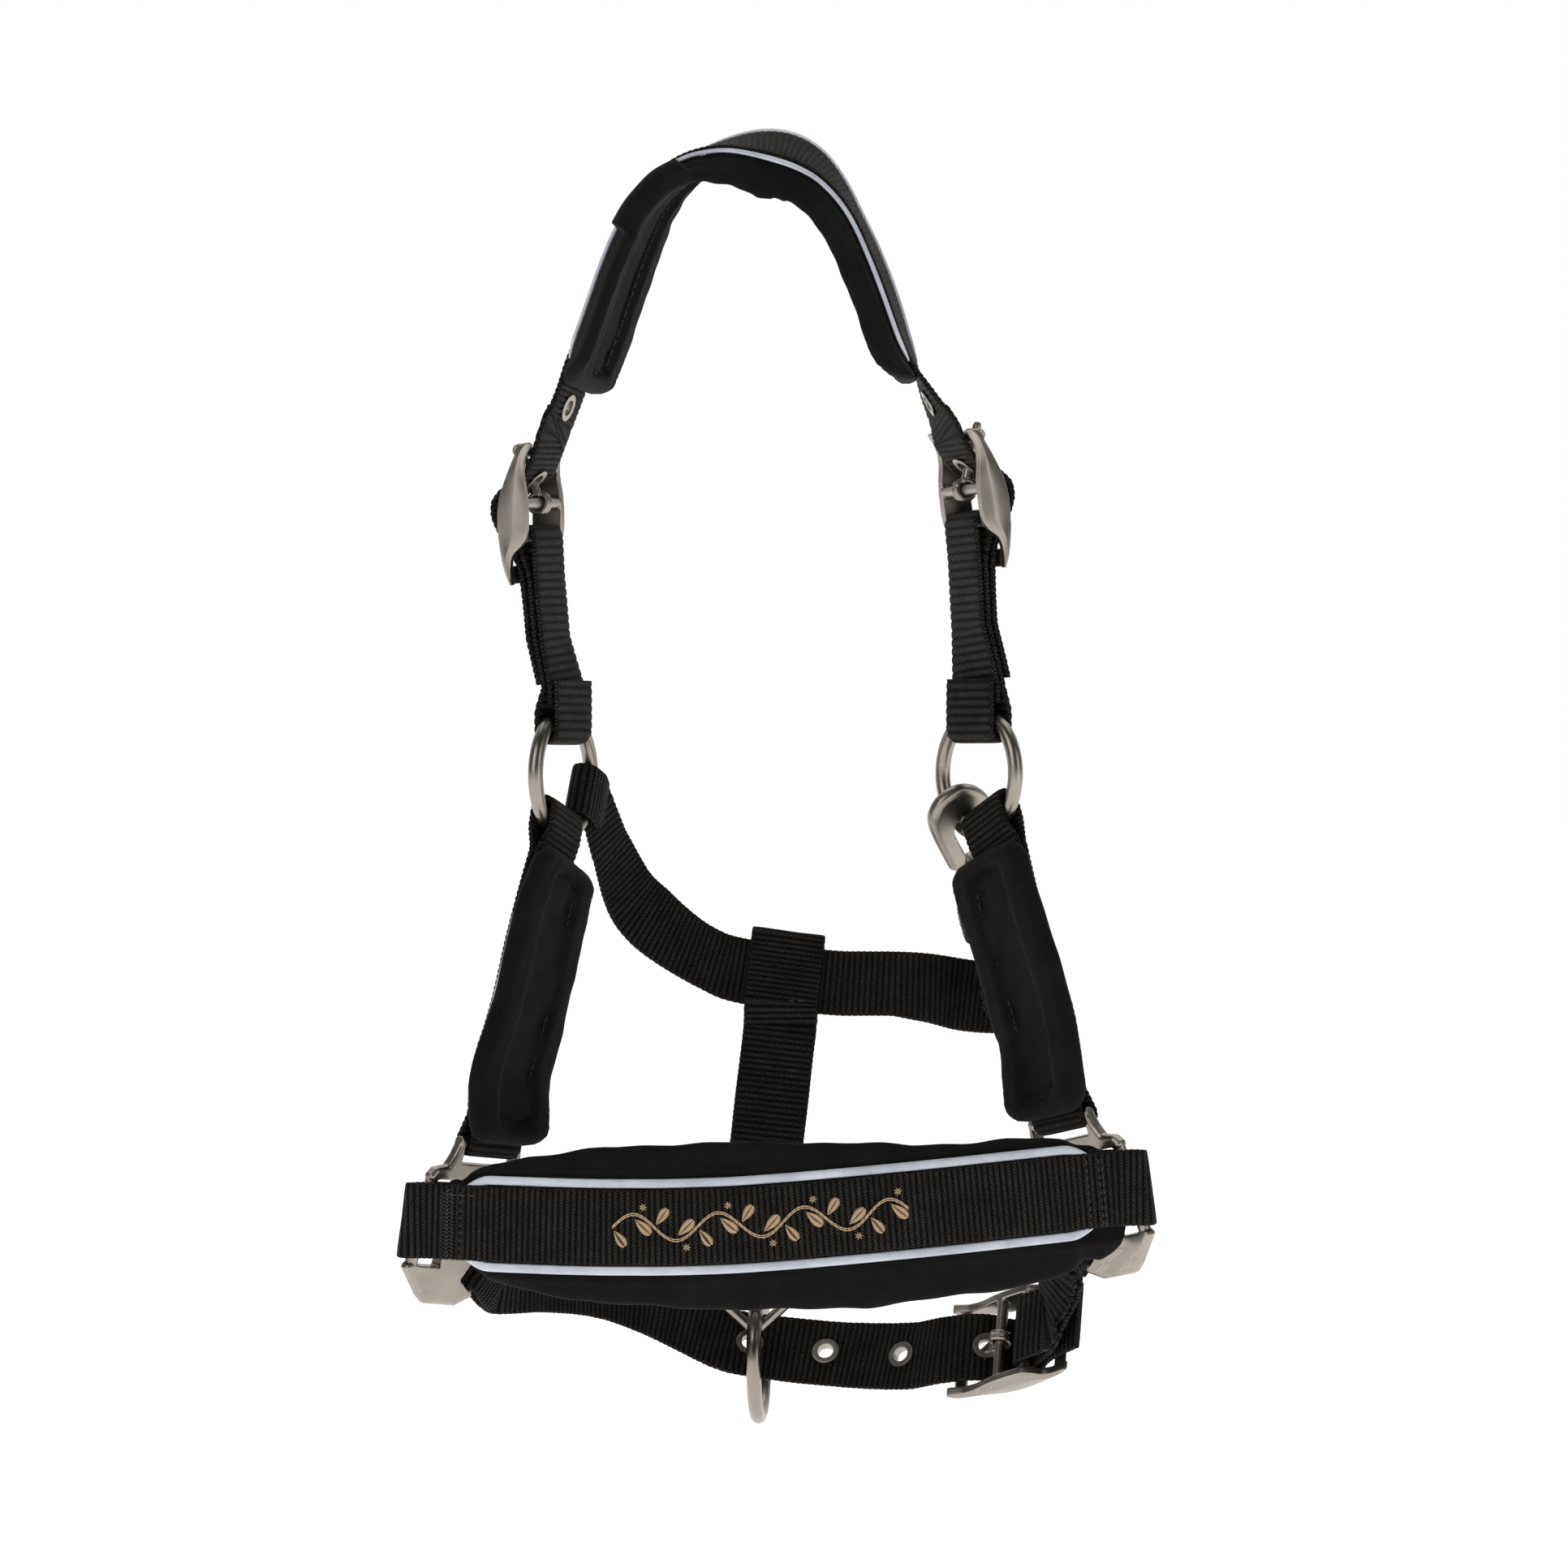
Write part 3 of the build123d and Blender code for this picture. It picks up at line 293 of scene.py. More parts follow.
def sewn_loop(middle, outward, top, bottom, gathered=WEB_W):
    """Path of a two-layer strap between two bars, and its width at each row."""
    inner = shifted(middle, -LAYER * outward)[1:-1]
    outer = shifted(middle, LAYER * outward)[1:-1]
    joint = len(inner) // 2
    step = (inner[joint][0] - inner[joint - 1][0]).normalized() * 0.4
    end = (inner[joint][0] - step, inner[joint][1])
    rows = inner[joint:] + top + outer[::-1] + bottom[::-1] + inner[:joint] + [end]
    first = len(inner) - joint + 1
    widths = [gathered if first <= i < first + len(top) - 2 else WEB_W for i in range(len(rows))]
    return rows, widths


def lower_cheek_path(side):
    bar, ring_low = (LEFT_TOP_BAR, LEFT_RING_LOW) if side < 0 else (RIGHT_TOP_BAR, RIGHT_RING_LOW)
    loops = ring_loop(ring_low, -1), bar_loop(bar, 1, FITTING_BAR_R)
    return sewn_loop(cheek_middle(side), -side, *loops, CHEEK_GATHER)


NOSE_MIDDLE = points(
    (-107.4, -56.0, -348.9, 0.08, -0.06, 1),
    (-95.0, -61.5, -349.3, 0.05, -0.03, 1),
    (-81.7, -66.0, -349.6, 0.03, 0, 1),
    (-68.5, -69.6, -349.9, 0.02, 0, 1),
    (-55.2, -72.0, -350.1, 0, 0, 1),
    (-34.0, -74.5, -350.0, 0, 0, 1),
    (-13.1, -75.5, -349.3, 0, 0, 1),
    (8.0, -75.2, -347.8, 0, 0, 1),
    (29.0, -73.8, -346.0, -0.01, 0, 1),
    (48.0, -71.3, -344.3, -0.02, 0, 1),
    (66.0, -68.0, -342.6, -0.04, 0, 1),
    (80.0, -64.6, -341.2, -0.06, 0, 1),
    (93.5, -60.9, -339.9, -0.09, -0.01, 1),
    (111.3, -55.6, -338.2, -0.10, -0.03, 1),
)
NOSE_INNER_END = {-1: ((-14.9, -6.9), (-9.9, -4.6)), 1: ((-14.7, -5.4), (-9.7, -3.9))}
NOSE_FOLD = [(-5.9, 1.4), (-2.6, 3.9), (0.6, 4.4)]
NOSE_FOLD_MID = 2.1
NOSE_FOLD_R = 3.7
# Sideways position, half heights above and below, and how far the pad lies behind the webbing.
NOSE_PAD_EDGES = [
    (-108.5, 14.5, 12.5, 2.6), (-104.5, 13, 11, 2.6), (-99, 17, 16, 2.6), (-93, 19.5, 19, 0),
    (-81, 22.3, 21.7, 0), (-68, 24, 23.4, 0), (-55, 25.8, 25, 0), (-34, 27, 26.4, 0),
    (-13, 26.8, 27.6, 0), (8, 25.6, 29.4, 0), (29, 23.4, 30.4, 0), (48, 21, 30, 0),
    (66, 19.9, 29.6, 0), (80, 19.4, 28.8, 0), (92, 18.6, 27.4, 0), (98, 17.5, 26, 0),
    (103, 15.5, 23, 2.6), (108, 15, 23.5, 2.6), (112, 12.5, 21.5, 2.6), (115.5, -4, 19, 3.0),
    (117, -8, 16, 3.2),
]


def nose_fold(side):
    fitting = LEFT_FITTING if side < 0 else RIGHT_FITTING
    lean = Vector((side * -0.13, fitting.v.y, fitting.v.z))
    spots = list(NOSE_INNER_END[side]) + NOSE_FOLD
    for k in range(9):
        a = math.pi * (0.5 - k / 8)
        spots.append((NOSE_FOLD_MID + NOSE_FOLD_R * math.cos(a), (NOSE_FOLD_R + 0.4) * math.sin(a)))
    spots.append((-2.5, -4.8))
    return [(fitting.o + Vector((side * out, back, 0)), lean) for out, back in spots]


def nose_path():
    return nose_fold(-1) + smooth(NOSE_MIDDLE, 4) + nose_fold(1)[::-1]


LEFT_CHIN_BAR = chin_bar_frame(LEFT_FITTING)
RIGHT_CHIN_BAR = chin_bar_frame(RIGHT_FITTING)
CHIN_ARCH = points(
    (-79.0, 1.5, -369.6, 0.35, 0.45, 0.82),
    (-68.5, 14.0, -370.8, 0.22, 0.50, 0.83),
    (-56.5, 25.8, -374.2, 0.12, 0.54, 0.83),
    (-42.0, 34.8, -380.4, 0.06, 0.55, 0.83),
    (-25.0, 41.5, -389.2, 0.03, 0.55, 0.83),
    (-14.0, 43.7, -394.0, 0, 0.55, 0.83),
    (-1.0, 44.2, -396.1, 0, 0.55, 0.83),
    (11.0, 43.1, -397.5, 0, 0.55, 0.83),
    (26.0, 39.4, -398.5, 0, 0.55, 0.83),
    (40.0, 33.4, -398.6, 0.02, 0.54, 0.84),
    (48.6, 27.8, -398.0, 0.04, 0.52, 0.85),
)


def chin_path():
    start = bar_loop(LEFT_CHIN_BAR, -1, FITTING_BAR_R, 12)
    return start + smooth(CHIN_ARCH, 2) + buckle_rows(CHIN_BUCKLE)[::-1]


def chin_buckle_path():
    middle = smooth([
        RIGHT_CHIN_BAR.row(0, -10),
        (Vector((95.8, -12.6, -366.5)), Vector((-0.42, 0.43, 0.80))),
        (Vector((94.9, -9.0, -374.5)), Vector((-0.20, 0.47, 0.86))),
        CHIN_BUCKLE.row(0, -24),
    ], 2)
    return sewn_loop(middle, 1, buckle_loop(CHIN_BUCKLE), bar_loop(RIGHT_CHIN_BAR, -1, FITTING_BAR_R))


THROAT_RING = ring_frame(LEFT_RING, LEFT_RING_DIR, -22, 1)
THROAT_GATHER = 17.8
THROAT_ARCH = points(
    (-54.7, 30.0, -225.9, 0.35, 0.47, 0.80),
    (-48.1, 40.0, -242.4, 0.50, 0.40, 0.77),
    (-40.8, 45.0, -251.0, 0.40, 0.42, 0.82),
    (-31.0, 49.6, -259.0, 0.18, 0.48, 0.86),
    (-20.5, 53.2, -265.4, 0.03, 0.50, 0.86),
    (-9.5, 54.9, -269.2, 0.08, 0.50, 0.85),
    (18.5, 56.0, -273.0, 0.08, 0.50, 0.85),
    (30.0, 55.2, -273.4, 0, 0.50, 0.86),
)
THROAT_RISE = points(
    (41.2, 54.0, -273.4, 0, 0.50, 0.86),
    (53.5, 56.6, -275.0, 0, 0.35, 0.94),
    (66.7, 62.9, -277.7, 0.19, 0.20, 0.96),
    (79.2, 57.8, -278.0, 0.09, 0.29, 0.95),
    (80.6, 48.1, -274.0, 0.88, 0.16, 0.45),
)
SNAP_DOWN = Vector((0.2210, 0.6429, -0.7333))
SNAP_ACROSS = Vector((-0.8355, -0.2630, -0.4824))
SNAP_AT = Vector((62.15, 7.71, -220.22))
SNAP_EYE_X = -5
SNAP_EYE_Y = -48
EYE_GATHER = 18.0
SNAP = Local(SNAP_AT, SNAP_DOWN * -1, SNAP_DOWN.cross(SNAP_ACROSS), 1)
SNAP_EYE = Local(SNAP.at(SNAP_EYE_X, SNAP_EYE_Y), SNAP_DOWN * -1, SNAP_ACROSS * -1, 1)


def throat_path():
    loop = ring_loop(THROAT_RING, -1)
    rise = smooth(THROAT_RISE + [SNAP_EYE.row(-LAYER, -13)], 3)
    rows = loop + smooth(THROAT_ARCH, 3) + rise + bar_loop(SNAP_EYE, -1, 2.0)
    count = len(rows)
    at = (10, 19, count - 18, count - 12)
    return rows, np.interp(range(count), at, (THROAT_GATHER, WEB_W, WEB_W, EYE_GATHER)).tolist()


JOWL_TOP = Vector((5.7, 62.45, -259.05))
JOWL_THROUGH = Vector((0.095, 0.504, 0.847))
JOWL_LEG = Vector((0, -2.24, 1.3))
JOWL_FALL = [
    (2.9, 50.4, -289.0), (1.8, 49.2, -298.0), (0.4, 47.0, -310.0), (-1.9, 44.0, -330.0), (-4.2, 41.4, -350.0),
    (-5.2, 39.4, -361.5), (-5.5, 37.9, -366.0), (-5.6, 36.8, -369.8),
]
DEE_Y = 39.4
DEE_X = -5.6
DEE_TOP = -372.5
DEE_LOOP_R = 2.95


def jowl_path():
    along = Vector((0.99, 0.039, -0.134))
    foot = JOWL_TOP - JOWL_THROUGH * 26.6
    rows = [(Vector((3.2, 48.2, -286.8)), along), (foot + JOWL_LEG, along)]
    for k in range(9):
        a = math.pi * k / 8
        rows.append((JOWL_TOP + JOWL_LEG * math.cos(a) + JOWL_THROUGH * (2.6 * math.sin(a)), along))
    rows.append((foot - JOWL_LEG, along))
    rows += [(Vector(spot), Vector((1, 0, 0))) for spot in JOWL_FALL]
    for k in range(9):
        a = math.pi * (1 + k / 8)
        spot = Vector((DEE_X, DEE_Y + DEE_LOOP_R * math.cos(a), DEE_TOP + DEE_LOOP_R * math.sin(a)))
        rows.append((spot, Vector((1, 0, 0))))
    for y, z in ((41.9, -369.2), (40.9, -365.4), (41.8, -360.6)):
        rows.append((Vector((DEE_X, y, z)), Vector((1, 0, 0))))
    return rows


# ---- meshes along a path ----
class Path:
    """A path sampled evenly and closely, with its corners rounded over a short length."""

    def __init__(self, rows, widths=None, step=0.36, soften=1.0):
        p = np.array([r[0] for r in rows], float)
        a = np.array([r[1].normalized() for r in rows], float)
        w = np.array(widths if widths else [WEB_W] * len(rows), float)[:, None]
        gaps = np.linalg.norm(np.diff(p, axis=0), axis=1)
        at = np.concatenate([[0], np.cumsum(gaps)])
        count = max(int(round(at[-1] / step)), 4)
        self.s = np.linspace(0, at[-1], count + 1)
        q = np.stack([np.interp(self.s, at, c) for c in np.hstack([p, a, w]).T], 1)
        q = soften_rows(q, soften / step)
        self.p = q[:, :3]
        along = np.gradient(self.p, axis=0)
        self.along = along / np.linalg.norm(along, axis=1)[:, None]
        across = q[:, 3:6] - self.along * (q[:, 3:6] * self.along).sum(1)[:, None]
        self.across = across / np.linalg.norm(across, axis=1)[:, None]
        self.out = np.cross(self.along, self.across)
        self.width = q[:, 6]
        self.length = at[-1]

    def spot(self, s, a, b):
        """Points at distances s along, a across and b outwards, in metres."""
        s = np.asarray(s, float)
        fields = self.p, self.across, self.out
        at = [np.stack([np.interp(s, self.s, c) for c in field.T], -1) for field in fields]
        a, b = np.asarray(a, float)[..., None], np.asarray(b, float)[..., None]
        return (at[0] + at[1] * a + at[2] * b) * 0.001


def soften_rows(q, sigma):
    """Rows averaged with their neighbours; the ends stay put."""
    reach = max(int(3 * sigma), 1)
    reach = min(reach, len(q) - 2)
    kernel = np.exp(-0.5 * (np.arange(-reach, reach + 1) / sigma) ** 2)
    kernel /= kernel.sum()
    padded = np.vstack([2 * q[0] - q[reach:0:-1], q, 2 * q[-1] - q[-2:-reach - 2:-1]])
    return np.stack([np.convolve(c, kernel, "valid") for c in padded.T], 1)


def mesh_object(name, verts, faces, material, uv=None, fields=None):
    mesh = bpy.data.meshes.new(name)
    mesh.from_pydata(verts, [], faces)
    work = bmesh.new()
    work.from_mesh(mesh)
    bmesh.ops.recalc_face_normals(work, faces=work.faces)
    work.to_mesh(mesh)
    work.free()
    mesh.polygons.foreach_set("use_smooth", np.ones(len(mesh.polygons), bool))
    if uv is not None:
        layer = mesh.uv_layers.new(name="UVMap")
        loops = np.empty(len(mesh.loops), int)
        mesh.loops.foreach_get("vertex_index", loops)
        layer.data.foreach_set("uv", np.asarray(uv, np.float32)[loops].ravel())
    for key, values in (fields or {}).items():
        field = mesh.attributes.new(key, "FLOAT", "POINT")
        field.data.foreach_set("value", np.asarray(values, np.float32).ravel())
    mesh.materials.append(material)
    obj = bpy.data.objects.new(name, mesh)
    bpy.context.scene.collection.objects.link(obj)
    return obj


def grid_faces(rows, cols, first=0):
    """Quads of a closed tube of rows rings with cols points each, and its two end caps."""
    i = np.arange(rows - 1)[:, None] * cols
    j = np.arange(cols)[None, :]
    k = (np.arange(cols)[None, :] + 1) % cols
    quads = np.stack([i + j, i + k, i + k + cols, i + j + cols], -1).reshape(-1, 4) + first
    last = first + (rows - 1) * cols
    caps = [list(range(first + cols - 1, first - 1, -1)), list(range(last, last + cols))]
    return quads.tolist() + caps


def loft(name, path, a, b, material, fields=None):
    """Closed skin through one ring per path row: a and b hold each ring's across and outward distances."""
    rows, cols = a.shape
    verts = path.p[:, None, :] + path.across[:, None, :] * a[..., None] + path.out[:, None, :] * b[..., None]
    uv = np.stack([a, np.repeat(path.s[:, None], cols, 1)], -1).reshape(-1, 2)
    verts = (verts.reshape(-1, 3) * 0.001).tolist()
    return mesh_object(name, verts, grid_faces(rows, cols), material, uv, fields)


def strap_ring(columns=10):
    """Unit ring of a flat strap: across from -1 to 1 and side -1 or 1, with rounded edges."""
    line = np.linspace(-1, 1, columns)
    arc = np.radians([60, 20, -20, -60])
    flat = np.concatenate([line, np.ones(4), line[::-1], -np.ones(4)])
    round_out = np.concatenate([np.zeros(columns), np.cos(arc), np.zeros(columns), -np.cos(arc)])
    face = np.concatenate([np.ones(columns), np.sin(arc), -np.ones(columns), -np.sin(arc)])
    return flat, round_out, face


def ribs(s, pitch):
    """Height, 0 to 1, of rounded cross ribs."""
    x = (s / pitch) % 1.0 * 2 - 1
    return np.sqrt(np.clip(1 - x * x * 0.97, 0, 1))


def webbing(name, rows, material, widths=None, pitch=2.0, depth=0.45):
    """Ribbed webbing: cords run across the strap and scallop its edges."""
    path = Path(rows, widths, pitch / 6)
    flat, round_out, face = strap_ring()
    h = ribs(path.s, pitch)
    wobble = 0.12 * np.sin(path.s * 0.21) + 0.08 * np.sin(path.s * 0.057 + 1)
    edge = 0.75
    half = path.width / 2 - edge - 0.22 * (1 - h) + wobble * 0.4
    a = half[:, None] * flat[None, :] + edge * round_out[None, :]
    b = face[None, :] * (WEB_T / 2 - depth * (1 - h))[:, None] * (1 - 0.12 * np.abs(flat[None, :]) ** 8)
    # The rounded sides get a fixed 0.82, so the shader paints its cord-top highlight on them too.
    heights = np.where(np.abs(face)[None, :] < 0.9, 0.82, h[:, None])
    return loft(name, path, a, b, material, {"rib": heights, "pitch": np.full(a.shape, pitch)})


def punch(obj, spots, radius=3.5):
    """Opens a round hole through a strap at each eyelet; the eyelet's flange covers the cut edge."""
    mesh = obj.data
    co = np.empty(len(mesh.vertices) * 3)
    mesh.vertices.foreach_get("co", co)
    co = co.reshape(-1, 3)
    gone = np.zeros(len(co), bool)
    for centre, axis in spots:
        rel = co - np.array(centre) * 0.001
        depth = rel @ np.array(axis)
        side = np.linalg.norm(rel - depth[:, None] * np.array(axis), axis=1)
        gone |= (side < radius * 0.001) & (np.abs(depth) < 0.0022)
    work = bmesh.new()
    work.from_mesh(mesh)
    work.verts.ensure_lookup_table()
    bmesh.ops.delete(work, geom=[work.verts[i] for i in np.nonzero(gone)[0]], context="VERTS")
    work.to_mesh(mesh)
    work.free()


def hole_spot(row_a, row_b):
    middle = (row_a[0] + row_b[0]) * 0.5
    along = (row_b[0] - row_a[0]).normalized()
    across = (row_a[1] - along * row_a[1].dot(along)).normalized()
    return middle, along.cross(across)


def used_hole(buckle):
    return hole_spot(buckle.row(3.0, 6.8), buckle.row(-0.3, 9.8))


# ---- pads ----
def rounded_end(distance, radius):
    """How far an outline draws in at a distance from its rounded end."""
    x = np.clip(distance, 0, radius)
    return radius - np.sqrt(np.clip(radius**2 - (radius - x) ** 2, 0, None))


def edge_strip(name, rows, centre, width, thick, base, material):
    """Reflective piping: a thin rounded strip beside the webbing that tucks under it at both ends."""
    path = Path(rows, None, 0.7, 4.0)
    s = path.s
    angle = np.linspace(0, 2 * np.pi, 21)[:-1]
    wide = np.sign(np.cos(angle)) * np.abs(np.cos(angle)) ** 0.6
    high = np.sign(np.sin(angle)) * np.abs(np.sin(angle)) ** 0.8
    ends = np.minimum(s - s[0], s[-1] - s)
    shrink = np.clip(ends / 7.0, 0, 1) ** 0.6
    side = math.copysign(1, centre)
    tuck = side * 3.2 * (1 - np.clip(ends / 10.0, 0, 1)) ** 2
    a = (centre - tuck)[:, None] + (width / 2) * (0.35 + 0.65 * shrink)[:, None] * wide[None, :]
    b = base + (thick / 2) * (0.4 + 0.6 * shrink)[:, None] * high[None, :]
    return loft(name, path, a, b, material)


# ---- threads ----
def threads(name, runs, radius, material, sides=6):
    """One mesh of many short threads; each run is an array of points in metres."""
    verts, faces = [], []
    for run in runs:
        run = np.asarray(run, float)
        along = np.gradient(run, axis=0)
        along /= np.linalg.norm(along, axis=1)[:, None]
        helper = np.array([0.31, 0.17, 0.93])
        x = np.cross(along, helper)
        x /= np.linalg.norm(x, axis=1)[:, None]
        y = np.cross(along, x)
        turn = np.linspace(0, 2 * np.pi, sides + 1)[:-1]
        taper = np.ones(len(run))
        taper[[0, -1]] = 0.45
        rings = run[:, None, :] + radius * taper[:, None, None] * (
            np.cos(turn)[None, :, None] * x[:, None, :] + np.sin(turn)[None, :, None] * y[:, None, :])
        faces += grid_faces(len(run), sides, len(verts))
        verts += rings.reshape(-1, 3).tolist()
    return mesh_object(name, verts, faces, material)


def stitch_line(path, s0, s1, a0, a1, height, length=2.6, gap=0.8):
    """Runs of short stitches along a straight line on a strap's face."""
    total = math.hypot(s1 - s0, a1 - a0)
    count = max(int(total / (length + gap)), 1)
    runs = []
    for k in range(count):
        t = (np.array([0.0, 0.18, 0.5, 0.82, 1.0]) * length + k * (length + gap)) / total
        lift = height + np.array([-0.28, 0.05, 0.14, 0.05, -0.28]) * math.copysign(1, height)
        runs.append(path.spot(s0 + (s1 - s0) * t, a0 + (a1 - a0) * t, lift))
    return runs


def zigzag(path, s0, half, height, rows=3, spacing=1.5):
    """Bar tack across a strap: dense slanted stitches."""
    runs = []
    count = int(2 * half / 1.25)
    for k in range(count):
        a = -half + k * 1.25
        for r in range(rows):
            t = np.array([0.0, 0.5, 1.0])
            lift = height + np.array([-0.2, 0.12, -0.2]) * math.copysign(1, height)
            s = s0 + r * spacing + t * spacing * 0.95
            runs.append(path.spot(s, a + t * 1.1 * (1 if r % 2 else -1), lift))
    return runs


# ---- materials ----
class Shader:
    """Small helper that adds and joins nodes of one material."""

    def __init__(self, name):
        self.material = bpy.data.materials.new(name)
        self.material.use_nodes = True
        self.tree = self.material.node_tree
        self.tree.nodes.clear()
        self.body = self.add("ShaderNodeBsdfPrincipled")
        out = self.add("ShaderNodeOutputMaterial")
        self.tree.links.new(self.body.outputs[0], out.inputs["Surface"])

    def add(self, kind, **settings):
        node = self.tree.nodes.new(kind)
        for key, value in settings.items():
            setattr(node, key, value)
        return node

    def put(self, socket, value):
        if isinstance(value, bpy.types.NodeSocket):
            self.tree.links.new(value, socket)
        else:
            socket.default_value = value

    def math(self, operation, a, b=0.0, c=0.0):
        node = self.add("ShaderNodeMath", operation=operation)
        for socket, value in zip(node.inputs, (a, b, c)):
            self.put(socket, value)
        return node.outputs[0]

    def attribute(self, name):
        return self.add("ShaderNodeAttribute", attribute_name=name).outputs["Fac"]

    def object_coords(self):
        return self.add("ShaderNodeTexCoord").outputs["Object"]

    def uv(self):
        split = self.add("ShaderNodeSeparateXYZ")
        self.put(split.inputs[0], self.add("ShaderNodeUVMap", uv_map="UVMap").outputs[0])
        return split.outputs[0], split.outputs[1]

    def noise(self, scale, detail=4.0, rough=0.55, vector=None):
        node = self.add("ShaderNodeTexNoise")
        self.put(node.inputs["Vector"], vector if vector is not None else self.object_coords())
        node.inputs["Scale"].default_value = scale
        node.inputs["Detail"].default_value = detail
        node.inputs["Roughness"].default_value = rough
        return node.outputs["Fac"]

    def spread(self, value, low, high, out_low, out_high):
        node = self.add("ShaderNodeMapRange")
        for socket, number in zip(node.inputs, (value, low, high, out_low, out_high)):
            self.put(socket, number)
        return node.outputs[0]

    def mix(self, factor, a, b, blend="MIX"):
        node = self.add("ShaderNodeMix", data_type="RGBA", blend_type=blend)
        self.put(node.inputs[0], factor)
        self.put(node.inputs[6], a)
        self.put(node.inputs[7], b)
        return node.outputs[2]

    def bump(self, height, strength, distance, normal=None):
        node = self.add("ShaderNodeBump")
        self.put(node.inputs["Height"], height)
        node.inputs["Strength"].default_value = strength
        node.inputs["Distance"].default_value = distance
        if normal is not None:
            self.put(node.inputs["Normal"], normal)
        return node.outputs[0]

    def set(self, **values):
        names = {"color": "Base Color", "rough": "Roughness", "metal": "Metallic", "normal": "Normal",
                 "spec": "Specular IOR Level", "sheen": "Sheen Weight", "sheen_rough": "Sheen Roughness",
                 "sheen_tint": "Sheen Tint"}
        for key, value in values.items():
            self.put(self.body.inputs[names[key]], value)
        return self.material


def webbing_material(name, dark, light, painted_glint):
    """Nylon webbing: rounded cords across the strap, whose slanted strands change hand at every cord. The
    cord tops and strands are painted lighter as a painted highlight, the grooves stay near black as painted
    shade, and fine specks on the lit tops carry a painted glint.
    """
    m = Shader(name)
    across, along = m.uv()
    rib = m.attribute("rib")
    pitch = m.attribute("pitch")
    cord = m.math("FLOOR", m.math("DIVIDE", along, pitch))
    hand = m.math("SUBTRACT", m.math("MULTIPLY", m.math("PINGPONG", cord, 1.0), 2.0), 1.0)
    drift = m.math("MULTIPLY", m.math("MULTIPLY", along, hand), 1.5)
    slant = m.math("ADD", m.math("MULTIPLY", across, 1.9), drift)
    jitter = m.math("MULTIPLY", m.noise(900, 2), 2.2)
    strand = m.math("SINE", m.math("MULTIPLY", m.math("ADD", slant, jitter), 3.3))
    strand = m.spread(strand, -1.0, 1.0, 0.0, 1.0)
    fine = m.noise(5200, 3, 0.7)
    highlight_patchiness = m.noise(130, 5, 0.6)
    # Painted highlight: the cord tops are mixed towards the lighter colour as if lit, the grooves stay near
    # black as painted shade, and patchy noise varies the painted highlight.
    top = m.math("POWER", rib, 3.0)
    lit = m.math("MULTIPLY", top, m.spread(strand, 0.25, 0.95, 0.12, 1.0))
    lit = m.math("MULTIPLY", lit, m.spread(highlight_patchiness, 0.3, 0.7, 0.6, 1.15))
    color = m.mix(lit, dark, light)
    # Painted glint: fine specks on the lit cord tops are mixed towards a brighter colour.
    color = m.mix(m.math("MULTIPLY", m.math("POWER", fine, 3.0), lit), color, painted_glint)
    height = m.math("ADD", m.math("MULTIPLY", strand, 0.75), m.math("MULTIPLY", fine, 0.25))
    normal = m.bump(height, 0.75, 0.00028)
    rough = m.spread(strand, 0.0, 1.0, 0.72, 0.46)
    return m.set(color=color, rough=rough, normal=normal, spec=0.055, sheen=0.006, sheen_rough=0.5)


def neoprene_material(name, base, high):
    """Padding covered in a fine plain knit."""
    m = Shader(name)
    across, along = m.uv()
    knit = m.math("MULTIPLY", m.math("SINE", m.math("MULTIPLY", across, 9.0)),
                  m.math("SINE", m.math("MULTIPLY", along, 9.0)))
    knit = m.spread(knit, -1.0, 1.0, 0.0, 1.0)
    cloud = m.noise(85, 4, 0.6)
    lint = m.noise(2600, 3, 0.75)
    mottled = m.math("ADD", m.math("MULTIPLY", cloud, 0.55), m.math("MULTIPLY", lint, 0.45))
    color = m.mix(m.spread(mottled, 0.38, 0.66, 0.0, 1.0), base, high)
    color = m.mix(m.math("MULTIPLY", knit, 0.22), color, (0.022, 0.021, 0.020, 1))
    height = m.math("ADD", m.math("MULTIPLY", knit, 0.7), m.math("MULTIPLY", lint, 0.5))
    normal = m.bump(height, 0.5, 0.0002, m.bump(m.noise(160, 4), 0.35, 0.0012))
    rough = m.spread(lint, 0.3, 0.7, 0.78, 0.95)
    return m.set(color=color, rough=rough, normal=normal, spec=0.10, sheen=0.05, sheen_rough=0.45,
                 sheen_tint=(0.8, 0.78, 0.75, 1))


def reflective_material(name):
    """Silver reflective tape: glass beads in a pale grey binder, slightly scuffed."""
    m = Shader(name)
    beads = m.noise(7000, 2, 0.6)
    cloud = m.noise(60, 4, 0.6)
    scuff = m.noise(420, 6, 0.7)
    color = m.mix(m.spread(cloud, 0.3, 0.7, 0.0, 1.0), (0.50, 0.53, 0.60, 1), (0.72, 0.76, 0.83, 1))
    color = m.mix(m.spread(scuff, 0.62, 0.78, 0.0, 0.55), color, (0.28, 0.29, 0.32, 1))
    normal = m.bump(beads, 0.35, 0.0001, m.bump(m.noise(240, 3), 0.3, 0.0008))
    rough = m.spread(beads, 0.3, 0.7, 0.34, 0.52)
    return m.set(color=color, rough=rough, normal=normal, metal=0.25, spec=0.6, sheen=0.2, sheen_rough=0.3)


